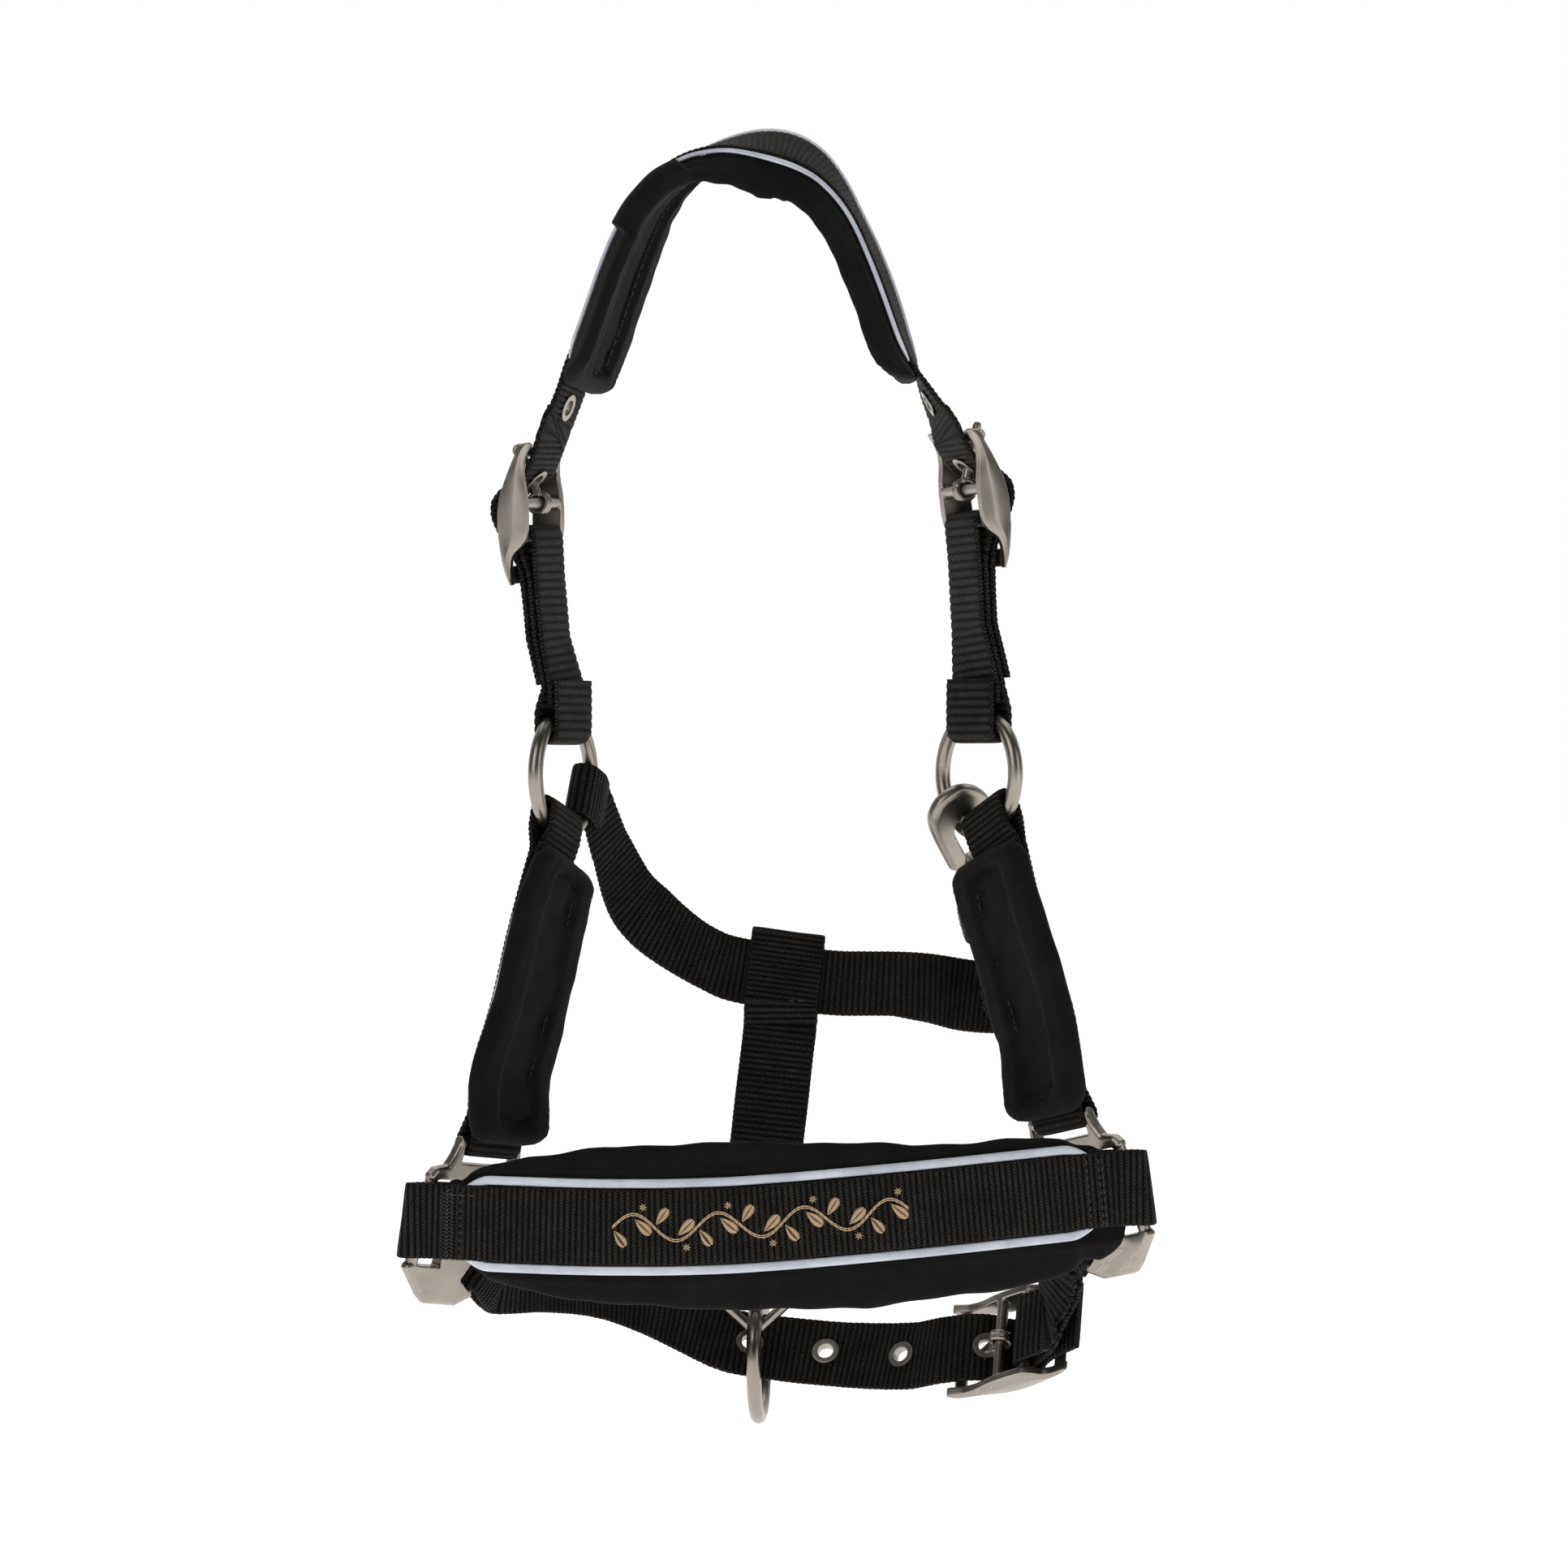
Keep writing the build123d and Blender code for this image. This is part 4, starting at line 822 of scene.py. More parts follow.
def nickel_material(name, tint=(0.40, 0.358, 0.312), rough_low=0.27, rough_high=0.40):
    """Cast nickel with a satin finish: soft cloudy reflections, pinholes, and convex edges painted brighter,
    partly as rubbed metal and partly as a painted edge highlight.
    """
    m = Shader(name)
    cloud = m.noise(45, 4, 0.6)
    grain = m.noise(1400, 5, 0.65)
    scratch = m.noise(60, 3, 0.5, stretched(m))
    # Convex edges, found by pointiness, are painted brighter: partly rubbed metal, partly a painted edge
    # highlight.
    edge = m.add("ShaderNodeNewGeometry").outputs["Pointiness"]
    edge_rub_and_highlight = m.spread(edge, 0.5, 0.56, 0.0, 1.0)
    dull = tuple(c * 0.72 for c in tint) + (1,)
    edge_rub_highlight_tint = tuple(min(c * 1.16, 1) for c in tint) + (1,)
    color = m.mix(m.spread(cloud, 0.3, 0.7, 0.0, 1.0), dull, tint + (1,))
    color = m.mix(m.math("MULTIPLY", edge_rub_and_highlight, 0.7), color, edge_rub_highlight_tint)
    rough = m.spread(m.math("ADD", m.math("MULTIPLY", grain, 0.6), m.math("MULTIPLY", cloud, 0.4)), 0.3, 0.7,
                     rough_low, rough_high)
    height = m.math("ADD", m.math("MULTIPLY", grain, 0.8), m.math("MULTIPLY", scratch, 0.2))
    normal = m.bump(height, 0.05, 0.00006)
    return m.set(color=color, rough=rough, normal=normal, metal=1.0)


def stretched(m):
    node = m.add("ShaderNodeMapping")
    m.put(node.inputs["Vector"], m.object_coords())
    node.inputs["Scale"].default_value = (3.0, 3.0, 40.0)
    node.inputs["Rotation"].default_value = (0.4, 0.3, 0.0)
    return node.outputs[0]


def thread_material(name, low, high, rough=0.6):
    """Twisted sewing thread with a slight sheen."""
    m = Shader(name)
    twist = m.noise(3800, 3, 0.6)
    color = m.mix(m.spread(twist, 0.3, 0.7, 0.0, 1.0), low, high)
    normal = m.bump(twist, 0.5, 0.0002)
    return m.set(color=color, rough=rough, normal=normal, spec=0.4, sheen=0.3, sheen_rough=0.4)


# Each webbing gets a near-black base, a painted highlight colour for the lit cord tops and a brighter painted
# glint colour.
BLACK_WEB = webbing_material(
    "black_webbing", (0.0012, 0.0011, 0.0011, 1), (0.042, 0.037, 0.031, 1), (0.17, 0.15, 0.125, 1))
LAYERED_WEB = webbing_material(
    "black_webbing_coarse", (0.0012, 0.0012, 0.0011, 1), (0.046, 0.041, 0.035, 1), (0.19, 0.17, 0.14, 1))
NEOPRENE = neoprene_material("black_knit_neoprene", (0.0042, 0.0039, 0.0037, 1), (0.0105, 0.0098, 0.0092, 1))
REFLECT = reflective_material("silver_reflective_tape")
NICKEL = nickel_material("satin_nickel")
RING_NICKEL = nickel_material("satin_nickel_ring", (0.37, 0.33, 0.285), 0.22, 0.34)
BLACK_THREAD = thread_material("black_thread", (0.012, 0.012, 0.012, 1), (0.05, 0.047, 0.045, 1))
TAN_THREAD = thread_material("tan_thread", (0.50, 0.33, 0.19, 1), (0.80, 0.60, 0.40, 1), 0.5)


# ---- shapes sewn into the pads ----
def lengths(rows):
    return np.concatenate([[0], np.cumsum([(b[0] - a[0]).length for a, b in zip(rows, rows[1:])])])


def pillow(x, reach):
    """0 at a seam or edge, rising smoothly to 1 at that distance."""
    t = np.clip(x / reach, 0, 1)
    return np.sqrt(np.clip(1 - (1 - t) ** 2, 0, 1))


def seam_distance(a, s, length, half, end, corner=4.0):
    """Signed distance to a rounded rectangular seam: negative inside."""
    x = np.abs(a) - (half - corner)
    y = np.abs(s - length / 2) - (length / 2 - end - corner)
    outside = np.hypot(np.maximum(x, 0), np.maximum(y, 0))
    return outside + np.minimum(np.maximum(x, y), 0) - corner


def pad(name, rows, left, right, base, thick, seam, corner=(9, 9), sunk=None, flap=None, droop=None,
        seed=1.0, step=1.1):
    """Knit-covered foam pad: flat under the webbing, rolled edges, with a stitched panel on its inner face.

    left and right are half widths per row; base is the outer face's distance from the path; seam is the
    panel's half width and its distance from the ends; flap is (start, end, height) of a turned-up front edge;
    sunk and droop are, per row, how far the pad lies below base and how far its front edge folds down.
    """
    at = lengths(rows)
    path = Path(rows, None, step, 3.0)
    s = path.s
    scale = at[-1] / path.length
    left = np.interp(s * scale, at, left)
    right = np.interp(s * scale, at, right)
    tail = path.length - s
    draw = np.maximum(rounded_end(s, corner[0]), rounded_end(tail, corner[1]))
    wave = np.sin(s * 0.31 + seed * 3) * 0.22 + np.sin(s * 0.13 + seed * 5) * 0.35
    left = left - draw + wave
    right = np.maximum(right - draw + np.roll(wave, 7), 2.0 - left)
    ends = np.minimum(s, tail)
    angle = np.linspace(0, 2 * np.pi, 121)[:-1]
    wide = np.sign(np.cos(angle)) * np.abs(np.cos(angle)) ** 0.35
    high = np.sign(np.sin(angle)) * np.abs(np.sin(angle)) ** 0.75
    a = (right - left)[:, None] / 2 + ((right + left) / 2)[:, None] * wide[None, :]
    t = thick * (0.3 + 0.7 * np.sqrt(np.clip(ends / 4.5, 0, 1)))
    top = base - (np.interp(s * scale, at, sunk) if sunk is not None else 0 * s)
    b = (top - t / 2)[:, None] + (t / 2)[:, None] * high[None, :]
    inner = np.clip(-np.sin(angle) * 3.0, 0, 1)[None, :]
    outer = np.clip(np.sin(angle) * 3.0, 0, 1)[None, :]
    edge = np.where(a > 0, right[:, None] - a, left[:, None] + a)
    gap = seam_distance(a, s[:, None], path.length, *seam)
    groove = np.exp(-((gap / 0.8) ** 2))
    puff = np.where(gap < 0, pillow(-gap, 3.2) * 0.9, pillow(gap, 3.4) * 1.5)
    rim = pillow(np.minimum(edge, ends[:, None] + 1.0), 4.0)
    b = b - inner * (1.1 * puff * rim - 2.0 * groove * rim - 0.7)
    beside = np.clip((np.abs(a) - 16.0) / 3.5, 0, 1)
    b = b + outer * np.sin(np.pi * beside) * 0.5 * rim
    lumps = np.sin(a * 0.5 + s[:, None] * 0.23 + seed) * np.sin(s[:, None] * 0.41 - a * 0.3 + seed * 2)
    creases = np.sin(s[:, None] * 1.1 + a * 0.5 + seed) ** 6 * np.exp(-((ends[:, None] - 9) / 7) ** 2)
    b = b - inner * (0.16 * lumps + 0.22 * creases)
    if droop:
        fold = np.clip((-a - 13.0) / 10.0, 0, 1.2) ** 1.3 * np.clip(ends / 9.0, 0.3, 1)[:, None]
        b = b - np.interp(s * scale, at, droop)[:, None] * fold
    if flap:
        start, end, height = flap
        window = np.clip((s - start) / 1.4, 0, 1) * np.clip((end - s) / 1.4, 0, 1)
        lift = np.clip((-a - 12.5) / 8.0, 0, 1) ** 0.8
        b = b + height * window[:, None] * lift * np.clip(np.sin(angle) + 1.0, 0, 1)[None, :]
    obj = loft(name, path, a, b, NEOPRENE)
    return obj, path


def seam_threads(name, path, seam, depth, body):
    """Black stitches lying in a pad's sewn panel line."""
    half, end = seam
    runs = []
    for side in (-1, 1):
        runs += stitch_line(path, end + 4, path.length - end - 4, side * half, side * half, depth, 2.5, 0.9)
    for s in (end, path.length - end):
        runs += stitch_line(path, s, s, -half + 4, half - 4, depth, 2.5, 0.9)
    obj = threads(name, runs, 0.00022, BLACK_THREAD)
    return finish_piece(obj, body)


def finish_piece(obj, body=None, nodes=(), blend=False):
    """Hangs a new piece on its body, or bakes its transform, and hides the CAD nodes it stands for."""
    if blend:
        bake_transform(obj)
    else:
        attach(obj, body)
    if nodes:
        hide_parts(*nodes)
    return obj


def between(row_a, row_b, t):
    """A row part of the way from one row to the next."""
    return (row_a[0].lerp(row_b[0], t), row_a[1].lerp(row_b[1], t))


def tapered(count, index, ends):
    near = min(index, count - 1 - index)
    return ends[near] if near < len(ends) else 1.0


# ---- crown ----
CROWN_DROOP = 4.2


def build_crown():
    strap = webbing("crown_strap_web", crown_path(), BLACK_WEB)
    spare = [hole_spot(*CROWN_ARCH[:2]), hole_spot(*CROWN_ARCH[-2:])]
    punch(strap, spare + [used_hole(LEFT_BUCKLE), used_hole(RIGHT_BUCKLE)])
    finish_piece(strap, nodes=["crown_strap"], blend=True)
    first = between(CROWN_ARCH[1], CROWN_ARCH[2], 0.1)
    last = between(CROWN_ARCH[20], CROWN_ARCH[21], 0.55)
    rows = [first] + CROWN_PAD_ROWS + [last]
    count = len(rows)
    half = [23 * tapered(count, i, (0.88, 0.96)) for i in range(count)]
    droop = [CROWN_DROOP + 2.5 * math.exp(-((point.x + 6) / 24) ** 2) for point, _ in rows]
    seam = (8.2, 7.0)
    at = lengths(rows)
    cushion, path = pad("crown_pad_knit", rows, half, half, -WEB_T / 2 - 0.1, PAD_T, seam, (8, 7),
                        flap=(at[5] + 2, at[7] + 8, 5.0), droop=droop, seed=1.3)
    finish_piece(cushion, "crown", ["crown_pad"])
    seam_threads("crown_pad_stitches", path, seam, -WEB_T / 2 - PAD_T + 0.9, "crown")
    for side, node, base in ((-1, "crown_piping_front", -0.35), (1, "crown_piping_rear", 0.8)):
        strip = edge_strip(node + "_tape", CROWN_PAD_ROWS, side * 14.3, 3.1, 1.5, base, REFLECT)
        finish_piece(strip, "crown", [node])


def lapped_cheek_path(buckle, ring_top):
    """Strap from inside the ring's loop, up round the buckle's bar, down round the ring to a lapped end."""
    loop = ring_loop(ring_top, 1)
    rows = [ring_top.row(-LAYER, 23.5), ring_top.row(-LAYER, 29), buckle.row(-LAYER, -45)]
    rows += buckle_loop(buckle) + [buckle.row(LAYER, -45)] + loop[:0:-1]
    return rows + [ring_top.row(-3.7, 27.5), ring_top.row(-3.6, 31.5)]


def build_upper_cheeks():
    sides = ("left", LEFT_BUCKLE, LEFT_RING_TOP), ("right", RIGHT_BUCKLE, RIGHT_RING_TOP)
    for name, buckle, ring_top in sides:
        rows = lapped_cheek_path(buckle, ring_top)
        strap = webbing("upper_cheek_web_" + name, rows, LAYERED_WEB, pitch=2.8, depth=0.5)
        finish_piece(strap, nodes=["upper_cheek_strap_" + name], blend=True)


# ---- lower cheeks ----
def build_lower_cheek(side):
    name = "left" if side < 0 else "right"
    rows, widths = lower_cheek_path(side)
    strap = webbing("lower_cheek_web_" + name, rows, BLACK_WEB, widths)
    finish_piece(strap, "lower", ["lower_cheek_strap_" + name])
    middle = [(point, across * -side) for point, across in cheek_middle(side)]
    bar = LEFT_TOP_BAR if side < 0 else RIGHT_TOP_BAR
    low_end = bar.row(0, 2.0)
    rows = [(low_end[0], low_end[1] * -side)] + middle
    half = [CHEEK_PAD_HALF * tapered(len(rows), i, (0.9, 0.98)) for i in range(len(rows))]
    sunk = [2.1, 0.6] + [0] * (len(rows) - 4) + [0.5, 2.1]
    seam = (7.8, 6.0)
    base = -LAYER - WEB_T / 2 - 0.25
    cushion, path = pad("cheek_pad_knit_" + name, rows, half, half, base, PAD_T, seam, (7, 7), sunk=sunk,
                        seed=2.0 + side)
    finish_piece(cushion, "lower", ["cheek_pad_" + name])
    seam_threads("cheek_pad_stitches_" + name, path, seam, base - PAD_T + 1.0, "lower")
    strips = []
    for edge in (-1, 1):
        strips.append(edge_strip("piping", middle[2:-2], edge * 14.2, 3.0, 1.4, -1.35, REFLECT))
    joined = join("cheek_piping_tape_" + name, strips)
    finish_piece(joined, "lower", ["cheek_piping_" + name])


def join(name, objects):
    """One object from several, by their meshes."""
    work = bmesh.new()
    for obj in objects:
        work.from_mesh(obj.data)
    mesh = bpy.data.meshes.new(name)
    work.to_mesh(mesh)
    work.free()
    mesh.materials.append(objects[0].data.materials[0])
    for obj in objects:
        bpy.data.objects.remove(obj)
    made = bpy.data.objects.new(name, mesh)
    bpy.context.scene.collection.objects.link(made)
    return made


# ---- noseband ----
NOSE_PIPING_X = (-100.5, -93, -81, -68, -55, -34, -13, 8, 29, 48, 66, 80, 92, 99, 105.5)


def nose_row_at(x):
    """Noseband row at a sideways position."""
    for (p, a), (q, b) in zip(NOSE_MIDDLE, NOSE_MIDDLE[1:]):
        if x <= q.x or q is NOSE_MIDDLE[-1][0]:
            t = (x - p.x) / (q.x - p.x)
            return (p.lerp(q, t), a.lerp(b, t))


def build_noseband():
    strap = webbing("noseband_web", nose_path(), BLACK_WEB)
    finish_piece(strap, "lower", ["noseband_strap"])
    x, up, down, sunk = zip(*NOSE_PAD_EDGES)
    rows = [nose_row_at(spot) for spot in x]
    seam = (9.5, 12.0)
    cushion, path = pad("noseband_pad_knit", rows, down, up, -WEB_T / 2 - 0.3, PAD_T + 0.8, seam, (4, 4),
                        sunk=sunk, seed=0.4)
    finish_piece(cushion, "lower", ["noseband_pad"])
    seam_threads("noseband_pad_stitches", path, seam, -WEB_T / 2 - PAD_T + 0.2, "lower")
    inner = [nose_row_at(spot) for spot in NOSE_PIPING_X]
    for side, node in ((1, "noseband_piping_upper"), (-1, "noseband_piping_lower")):
        strip = edge_strip(node + "_tape", inner, side * 14.2, 3.0, 1.4, -0.35, REFLECT)
        finish_piece(strip, "lower", [node])
    face = Path(NOSE_MIDDLE, None, 0.5, 1.0)
    build_nose_stitches(face)
    build_motif(face)


def nose_s(face, x):
    return float(np.interp(x, face.p[:, 0], face.s))


def build_nose_stitches(face):
    """Bar tacks and box stitches that close the folded ends."""
    lift = WEB_T / 2 + 0.12
    runs = zigzag(face, nose_s(face, -107.2), 11.4, lift)
    for x in (-101.0, 103.6, 107.6, 108.6):
        s = nose_s(face, x)
        runs += stitch_line(face, s, s, -11.4, 11.4, lift, 1.5, 1.0)
    runs += stitch_line(face, nose_s(face, -105), nose_s(face, -95), 9.0, 9.0, lift)
    obj = threads("noseband_end_stitches", runs, 0.00024, BLACK_THREAD)
    finish_piece(obj, "lower")


def leaf(face, s, a, length, width, angle, runs, lift):
    """Satin-stitched leaf: slanted threads either side of a mid rib."""
    c, d = math.cos(angle), math.sin(angle)
    count = int(length / 0.42)
    for k in range(count):
        t = (k + 0.5) / count
        half = width / 2 * math.sin(math.pi * min(t * 1.02, 1)) ** 0.75
        if half < 0.2:
            continue
        u = t * length
        for side in (-1, 1):
            across = np.array([0.05, 0.5, 1.0]) * half * side
            shift = np.array([0.0, 0.35, 0.7]) * half
            runs.append(face.spot(s + (u + shift) * c - across * d, a + (u + shift) * d + across * c,
                                  lift + np.array([0.0, 0.22, 0.0])))


def build_motif(face):
    """Tan embroidery along the front of the noseband: a running vine with pairs of leaves and small knots."""
    runs = []
    lift = WEB_T / 2 + 0.15
    x0, x1 = -51.5, 45.5
    s0, s1 = nose_s(face, x0), nose_s(face, x1)
    turns = 7
    stem = np.linspace(0, 1, 400)
    wave = lambda t: 4.3 * np.sin(2 * np.pi * turns / 2 * t)
    for offset in (-0.32, 0.32):
        points_ = face.spot(s0 + (s1 - s0) * stem, wave(stem) + offset, lift + 0.05)
        for k in range(0, 396, 6):
            runs.append(points_[k:k + 7])
    for k in range(turns):
        t = (k + 0.5) / turns
        s = s0 + (s1 - s0) * t
        sign = 1 if k % 2 == 0 else -1
        leaf(face, s + 0.6, sign * 2.6, 7.2, 3.5, -sign * 0.75, runs, lift)
        leaf(face, s - 6.4, -sign * 1.0, 6.6, 3.3, -sign * 0.95, runs, lift)
        for r in range(7):
            turn = 2 * math.pi * r / 7
            spot = np.linspace(0.2, 1.25, 3)
            runs.append(face.spot(s + 3.2 + spot * math.cos(turn), sign * 6.6 + spot * math.sin(turn),
                                  lift + np.array([0.25, 0.2, 0.0])))
    obj = threads("noseband_embroidery", runs, 0.00021, TAN_THREAD, 5)
    finish_piece(obj, "lower")


# ---- chin, throat and jowl straps ----
def build_chin():
    strap = webbing("chin_web", chin_path(), BLACK_WEB)
    spare = [hole_spot(*CHIN_ARCH[first:first + 2]) for first in (5, 7, 9)]
    punch(strap, spare + [used_hole(CHIN_BUCKLE)])
    finish_piece(strap, "lower", ["chin_strap"])
    rows, widths = chin_buckle_path()
    loop = webbing("chin_buckle_web", rows, LAYERED_WEB, widths, pitch=2.4)
    finish_piece(loop, "lower", ["chin_buckle_strap"])


def build_throat():
    rows, widths = throat_path()
    strap = webbing("throat_web", rows, BLACK_WEB, widths)
    finish_piece(strap, "lower", ["throat_strap"])
    sleeve = webbing("jowl_web", jowl_path(), BLACK_WEB)
    finish_piece(sleeve, "lower", ["jowl_strap"])
    runs = []
    rows = points((3.1, 46.9, -276.0, 0.99, 0.04, -0.13), (2.9, 48.0, -288.0, 0.99, 0.04, -0.13))
    face = Path(rows, None, 0.5)
    for k in (3.0, 6.0):
        runs += stitch_line(face, k, k, -11.3, 11.3, 0.2)
    obj = threads("jowl_sleeve_stitches", runs, 0.00022, BLACK_THREAD)
    finish_piece(obj, "lower")


# ---- cast hardware ----
RAIL_W = 15.6
RAIL_T = 3.2
TIP_BAR = (-0.2, 17.6, 2.2)
TONGUE_LEAN = 15.5
RAIL_OUTER = [
    (-4.2, 20.0), (-1.0, 19.2), (2.0, 14.5), (5.2, 8.5), (7.8, 2.5), (9.1, -4), (9.3, -12), (8.8, -18),
    (7.9, -23), (6.4, -27),
]
RAIL_INNER = [
    (-5.0, 19.4), (-4.0, 17.5), (-2.2, 14), (-1.6, 9), (-2.1, 3), (-1.9, -4), (-0.9, -11), (1.2, -14.2),
    (4.4, -17), (5.6, -21), (5.6, -26.6),
]
KEEPER = [(5.8, -20.2), (7.7, -20.2), (8.0, -22), (6.2, -26.6), (5.8, -26.2)]
LUG = [(-2.2, 15.6), (1.2, 14.6), (-0.6, 19.2), (-3.6, 19.4)]


def even_curve(spots, count):
    """Points evenly spaced along a smooth curve through the given ones."""
    rows = smooth([(Vector(s), Vector(s)) for s in spots], 8)
    line = np.array([r[0] for r in rows])
    at = np.concatenate([[0], np.cumsum(np.linalg.norm(np.diff(line, axis=0), axis=1))])
    t = np.linspace(0, at[-1], count)
    return np.stack([np.interp(t, at, line[:, k]) for k in (0, 1)], 1)


def placed(local, u, v, w):
    """Points of a local frame in metres."""
    base = np.array(local.o)
    axes = np.array([local.u, local.v, local.w])
    return (base + u[..., None] * axes[0] + v[..., None] * axes[1] + w[..., None] * axes[2]) * 0.001


def rail_part(local, side):
    """Lens-shaped side of a buckle: flat against the strap, crowned with a soft crease outside."""
    outer, inner = even_curve(RAIL_OUTER, 70), even_curve(RAIL_INNER, 70)
    x = np.concatenate([np.linspace(0, 1, 15), [1.0, 0.96, 0.5, 0.04, 0.0]])
    ridge = 1 - (np.abs(x[:15] - 0.42) / 0.58) ** 1.45
    z = np.concatenate([RAIL_T / 2 - 1.1 + 1.5 * np.clip(ridge, 0, 1), [-1.2, -1.6, -1.6, -1.6, -1.2]])
    spot = inner[:, None, :] * (1 - x)[None, :, None] + outer[:, None, :] * x[None, :, None]
    w = side * (RAIL_W + np.repeat(z[None, :], 70, 0))
    return placed(local, spot[..., 0], spot[..., 1], w)


def tube_part(line, radii, sides=18):
    """Rings of a round bar along a line of points given in metres."""
    line = np.asarray(line, float)
    along = np.gradient(line, axis=0)
    along /= np.linalg.norm(along, axis=1)[:, None]
    x = np.cross(along, [0.31, 0.17, 0.93])
    x /= np.linalg.norm(x, axis=1)[:, None]
    y = np.cross(along, x)
    turn = np.linspace(0, 2 * np.pi, sides + 1)[:-1]
    radii = np.broadcast_to(np.asarray(radii, float) * 0.001, (len(line),))
    return line[:, None, :] + radii[:, None, None] * (
        np.cos(turn)[None, :, None] * x[:, None, :] + np.sin(turn)[None, :, None] * y[:, None, :])


def prism_part(local, corners, low, high, crown=0.0):
    """Slab between two distances across the frame, its corners cut round and its rims rolled by crown."""
    ring = np.array(corners, float)
    for _ in range(2):
        after = np.roll(ring, -1, axis=0)
        ring = np.stack([ring * 0.75 + after * 0.25, ring * 0.25 + after * 0.75], 1).reshape(-1, 2)
    edge = np.roll(ring, -1, axis=0) - np.roll(ring, 1, axis=0)
    inwards = np.stack([-edge[:, 1], edge[:, 0]], 1) / np.linalg.norm(edge, axis=1)[:, None]
    level_ = np.linspace(-1, 1, 9)
    inset = crown * (1 - np.sqrt(np.clip(1 - np.abs(level_) ** 2.4, 0, 1)))
    flat = ring[None] + inwards[None] * inset[:, None, None]
    w = ((low + high) / 2 + (high - low) / 2 * level_)[:, None] * np.ones(len(ring))[None, :]
    return placed(local, flat[..., 0], flat[..., 1], w)


def bar_part(local, u, v, radius, reach):
    w = np.linspace(-reach, reach, 6)
    return tube_part(placed(local, 0 * w + u, 0 * w + v, w), radius)


def cast_object(name, parts, material, voxel, rounds):
    """Joins closed parts into one casting with softened inside and outside corners."""
    verts, faces = [], []
    for part in parts:
        faces += grid_faces(part.shape[0], part.shape[1], len(verts))
        verts += part.reshape(-1, 3).tolist()
    obj = mesh_object(name, verts, faces, material)
    soften_casting(obj, voxel, rounds)
    return obj


def soften_casting(obj, voxel, rounds):
    fuse = obj.modifiers.new("fuse", "REMESH")
    fuse.mode = "VOXEL"
    fuse.voxel_size = voxel
    fuse.use_smooth_shade = True
    soft = obj.modifiers.new("soft", "SMOOTH")
    soft.factor = 0.5
    soft.iterations = rounds


def build_buckle(name, local, body, node, tongue_node, tongue_body, tongue_length):
    reach = RAIL_W - 0.3
    parts = [rail_part(local, -1), rail_part(local, 1)]
    for u, v, radius in (TIP_BAR, (0, 0, BAR_R), (STRAP_BAR_U, STRAP_BAR_V, BAR_R)):
        parts.append(bar_part(local, u, v, radius, reach))
    parts.append(prism_part(local, KEEPER, -reach, reach))
    for side in (-1, 1):
        parts.append(prism_part(local, LUG, side * RAIL_W - 1.3, side * RAIL_W + 1.3))
    frame_obj = cast_object("buckle_casting_" + name, parts, NICKEL, 0.0003, 5)
    finish_piece(frame_obj, body, [node])
    lean = math.radians(TONGUE_LEAN)
    reach = np.array([2.9, 6, 11, 16, tongue_length - 1.5, tongue_length - 0.3, tongue_length])
    line = placed(local, reach * math.sin(lean), reach * math.cos(lean), 0 * reach)
    pin = tube_part(line, [1.9, 1.7, 1.55, 1.55, 1.5, 1.1, 0.4])
    turn = np.linspace(-0.4, 2 * np.pi * 2.25, 64)
    coil_r = BAR_R + 0.12 + 1.0
    w = np.linspace(-2.1, 2.1, 64)
    coil = tube_part(placed(local, coil_r * np.sin(turn), coil_r * np.cos(turn), w), 0.95, 12)
    tongue_obj = cast_object("buckle_tongue_" + name, [pin, coil], NICKEL, 0.00022, 2)
    finish_piece(tongue_obj, tongue_body, [tongue_node])


HOOK = [
    (6.5, -16), (7.3, -11), (8.5, -4.2), (9.4, 2.2), (9.6, 7.1), (8.7, 10.8),
    (5.6, 14.6), (1.2, 16.4), (-3.6, 16.4), (-7.6, 14.8), (-11.1, 11.4), (-13.4, 7),
    (-14.0, 3), (-13.4, 0.2), (-5.0, 0.2), (-4.9, 2.6), (-3.2, 3.9), (-1.0, 4.0),
    (0.9, 3.0), (1.8, 0.6), (1.6, -2.5), (1.0, -6), (0.3, -10), (-0.5, -16),
]
SNAP_BARREL = [(-13.5, -30.2), (3.5, -30.2), (5, -14.5), (-13, -14.5)]
SNAP_NECK = [(-10, -27), (5, -27), (6, -37), (-16, -37)]


def build_snap():
    """Cast hook, its barrel, and the eye that the throat strap is sewn round."""
    x, y = SNAP_EYE_X, SNAP_EYE_Y
    parts = [prism_part(SNAP, HOOK, -2.7, 2.7, 2.4), prism_part(SNAP, SNAP_BARREL, -4.2, 4.2, 1.6),
             prism_part(SNAP, SNAP_NECK, -2.1, 2.1, 0.8)]
    for side in (-1, 1):
        arm = [(x + side * a, b) for a, b in ((9.7, -33), (12.4, -33), (12.4, y - 2.5), (9.7, y - 2.5))]
        parts.append(prism_part(SNAP, arm[::side], -2.1, 2.1, 0.8))
    w = np.linspace(-11.5, 11.5, 6)
    parts.append(tube_part(placed(SNAP, x + w, y + 0 * w, 0 * w), 2.0))
    body = cast_object("snap_casting", parts, NICKEL, 0.00035, 6)
    finish_piece(body, "lower", ["snap_body"])


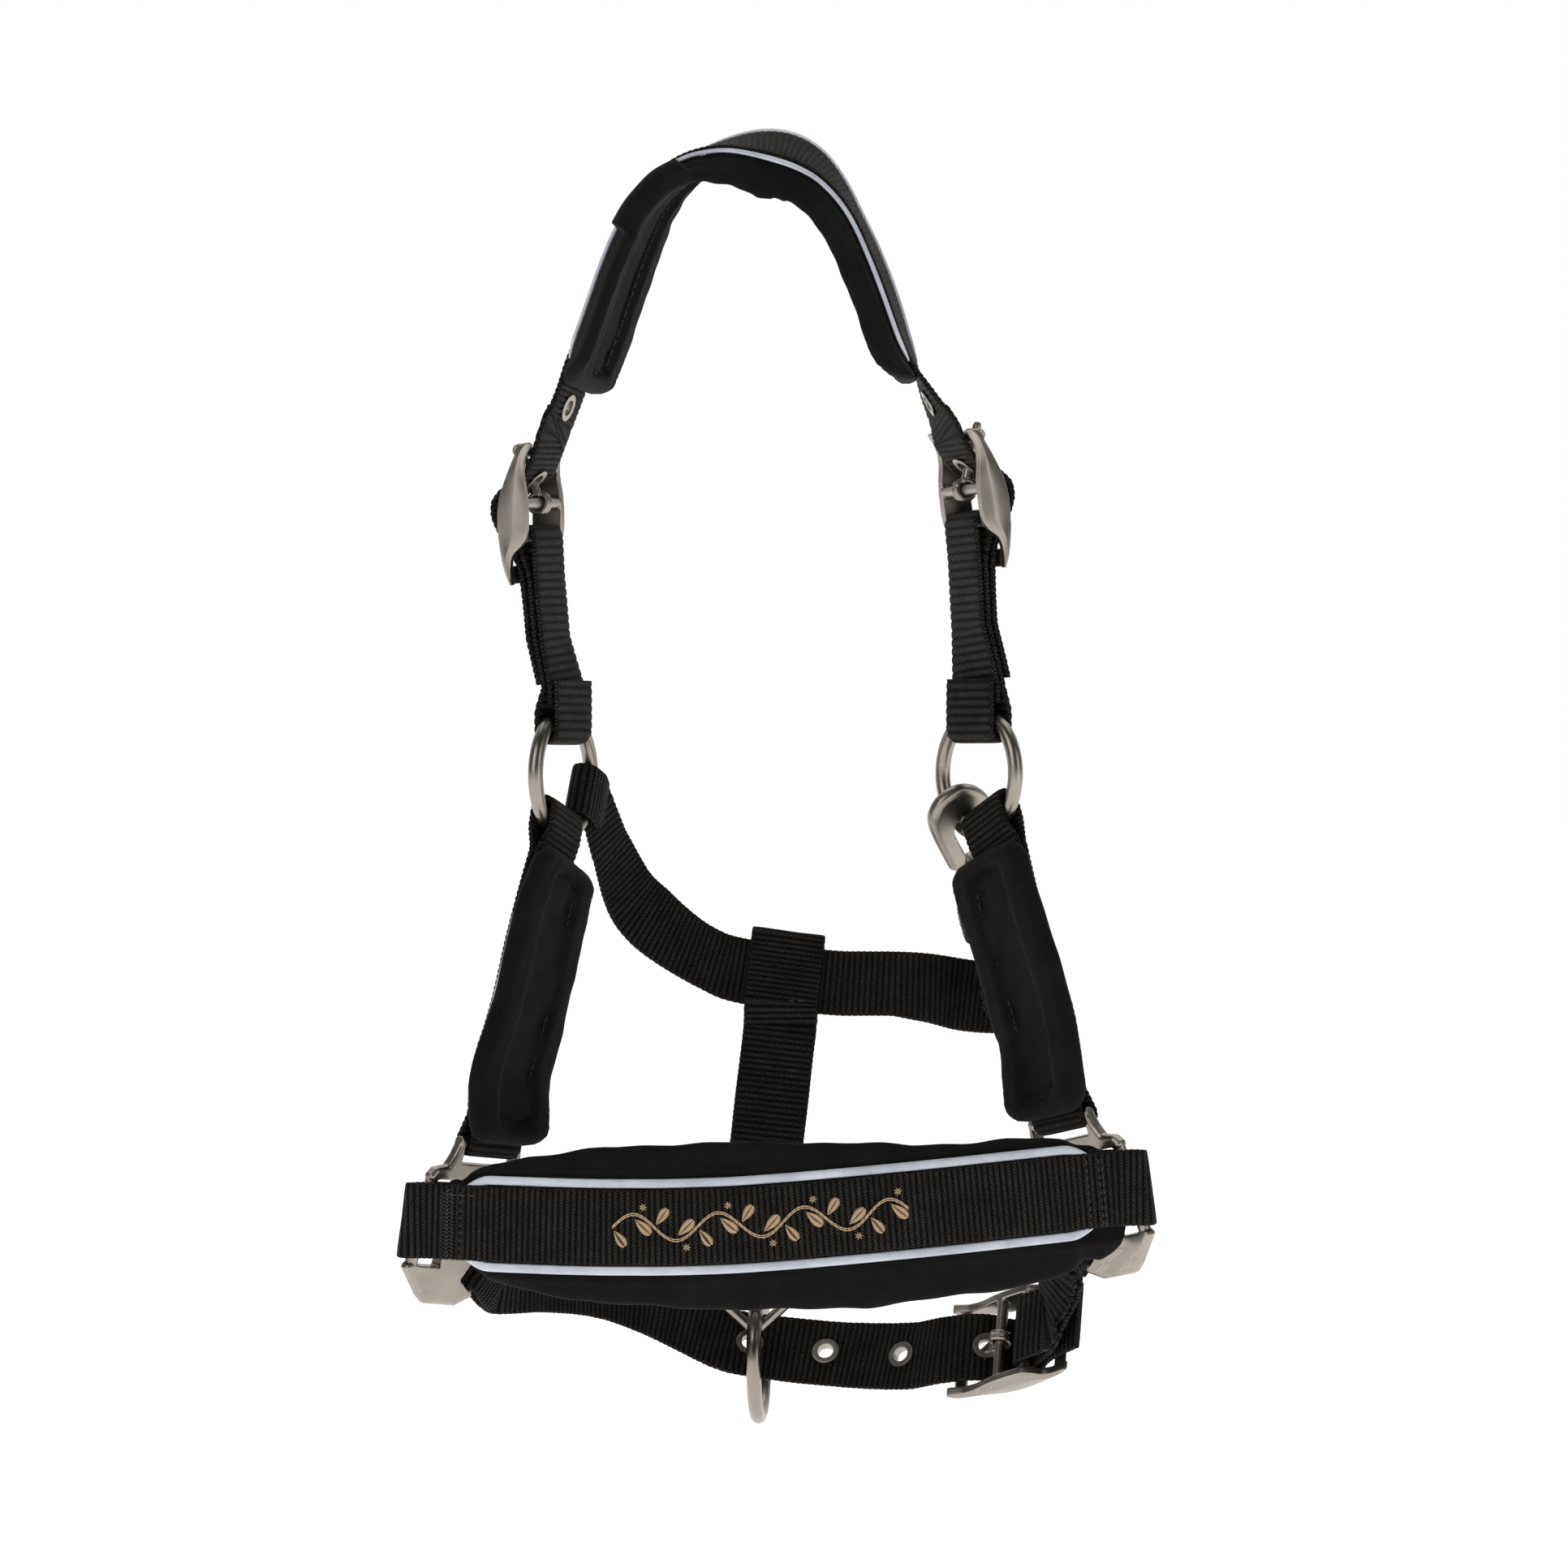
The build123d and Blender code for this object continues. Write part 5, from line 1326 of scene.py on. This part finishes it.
def dress_hardware():
    """Castings that keep their CAD shape get softened corners and a satin finish."""
    rings = ("cheek_ring_left", "cheek_ring_right", "lead_ring", "vee_ring")
    castings = ("side_fitting_left", "side_fitting_right", "snap_bolt")
    for name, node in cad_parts.items():
        if node.hide_render:
            continue
        node.data.materials.clear()
        node.data.materials.append(RING_NICKEL if name in rings else NICKEL)
        node.data.polygons.foreach_set("use_smooth", np.ones(len(node.data.polygons), bool))
        weld = node.modifiers.new("weld", "WELD")
        weld.merge_threshold = 0.00001
        if name in castings:
            soften_casting(node, 0.00035, 7)
        elif name not in rings:
            bevel = node.modifiers.new("bevel", "BEVEL")
            bevel.width = 0.0003
            bevel.segments = 3
            bevel.limit_method = "ANGLE"
            bevel.angle_limit = math.radians(28)


BUCKLES = (
    ("left", LEFT_BUCKLE, "crown", "crown_buckle_frame_left", "crown_tongue_left", "tongue_left", 21.3),
    ("right", RIGHT_BUCKLE, "crown", "crown_buckle_frame_right", "crown_tongue_right", "tongue_right", 23.5),
    ("chin", CHIN_BUCKLE, "lower", "chin_buckle_frame", "chin_tongue", "tongue_chin", 23.5),
)


build_crown()
build_upper_cheeks()
for cheek_side in (-1, 1):
    build_lower_cheek(cheek_side)
build_noseband()
build_chin()
build_throat()
for buckle in BUCKLES:
    build_buckle(*buckle)
build_snap()
dress_hardware()


# ---- floor, light and camera ----
def stage():
    """A wide pale floor under the hanging headcollar."""
    mesh = bpy.data.meshes.new("studio_floor")
    side, floor = 60.0, -0.470
    corners = [(x * side, y * side, floor) for x, y in ((-1, -1), (1, -1), (1, 1), (-1, 1))]
    mesh.from_pydata(corners, [], [(0, 1, 2, 3)])
    floor_obj = bpy.data.objects.new("studio_floor", mesh)
    bpy.context.scene.collection.objects.link(floor_obj)
    m = Shader("studio_white")
    tone = m.spread(m.noise(1.5, 3), 0.3, 0.7, 0.86, 0.88)
    color = m.add("ShaderNodeCombineColor")
    for socket in color.inputs:
        m.put(socket, tone)
    m.body.inputs["Emission Color"].default_value = (1, 1, 1, 1)
    m.body.inputs["Emission Strength"].default_value = 0.80
    mesh.materials.append(m.set(color=color.outputs[0], rough=0.95, spec=0.05))


def area_light(name, spot, target, size, power, color=(1, 1, 1)):
    data = bpy.data.lights.new(name, "AREA")
    data.shape = "RECTANGLE"
    data.size, data.size_y = size
    data.energy = power
    data.color = color
    lamp = bpy.data.objects.new(name, data)
    lamp.location = spot
    lamp.rotation_euler = (Vector(target) - Vector(spot)).to_track_quat("-Z", "Y").to_euler()
    bpy.context.scene.collection.objects.link(lamp)


def studio_world():
    """White backdrop all round; its light comes mostly from behind the object, and the room is dim."""
    world = bpy.data.worlds.new("studio")
    world.use_nodes = True
    tree = world.node_tree
    background = tree.nodes["Background"]
    split = tree.nodes.new("ShaderNodeSeparateXYZ")
    tree.links.new(tree.nodes.new("ShaderNodeTexCoord").outputs["Generated"], split.inputs[0])
    glow = tree.nodes.new("ShaderNodeMapRange")
    tree.links.new(split.outputs["Y"], glow.inputs["Value"])
    for socket, number in zip(glow.inputs[1:5], (0.0, 0.9, 0.07, 0.80)):
        socket.default_value = number
    seen = tree.nodes.new("ShaderNodeMath")
    seen.operation = "MAXIMUM"
    tree.links.new(tree.nodes.new("ShaderNodeLightPath").outputs["Is Camera Ray"], seen.inputs[0])
    tree.links.new(glow.outputs[0], seen.inputs[1])
    background.inputs["Color"].default_value = (1, 1, 1, 1)
    tree.links.new(seen.outputs[0], background.inputs["Strength"])
    bpy.context.scene.world = world


def light_and_camera():
    scene = bpy.context.scene
    studio_world()
    scene.view_settings.view_transform = "Standard"
    area_light("key", (-1.5, -2.0, 1.0), (0, 0, -0.2), (1.8, 2.0), 17)
    area_light("fill", (1.9, -1.4, 0.1), (0, 0, -0.2), (1.2, 2.2), 9)
    area_light("top", (0.1, 0.5, 1.6), (0, 0, -0.2), (2.2, 1.6), 11)
    data = bpy.data.cameras.new("camera")
    data.sensor_width = 36
    data.lens = 36 * 11400 / 1932
    data.clip_start = 0.1
    data.clip_end = 200
    camera = bpy.data.objects.new("camera", data)
    camera.location = (0.0043, -3.085, -0.2057)
    camera.rotation_euler = (math.pi / 2, 0, 0)
    scene.collection.objects.link(camera)
    scene.camera = camera


stage()
light_and_camera()
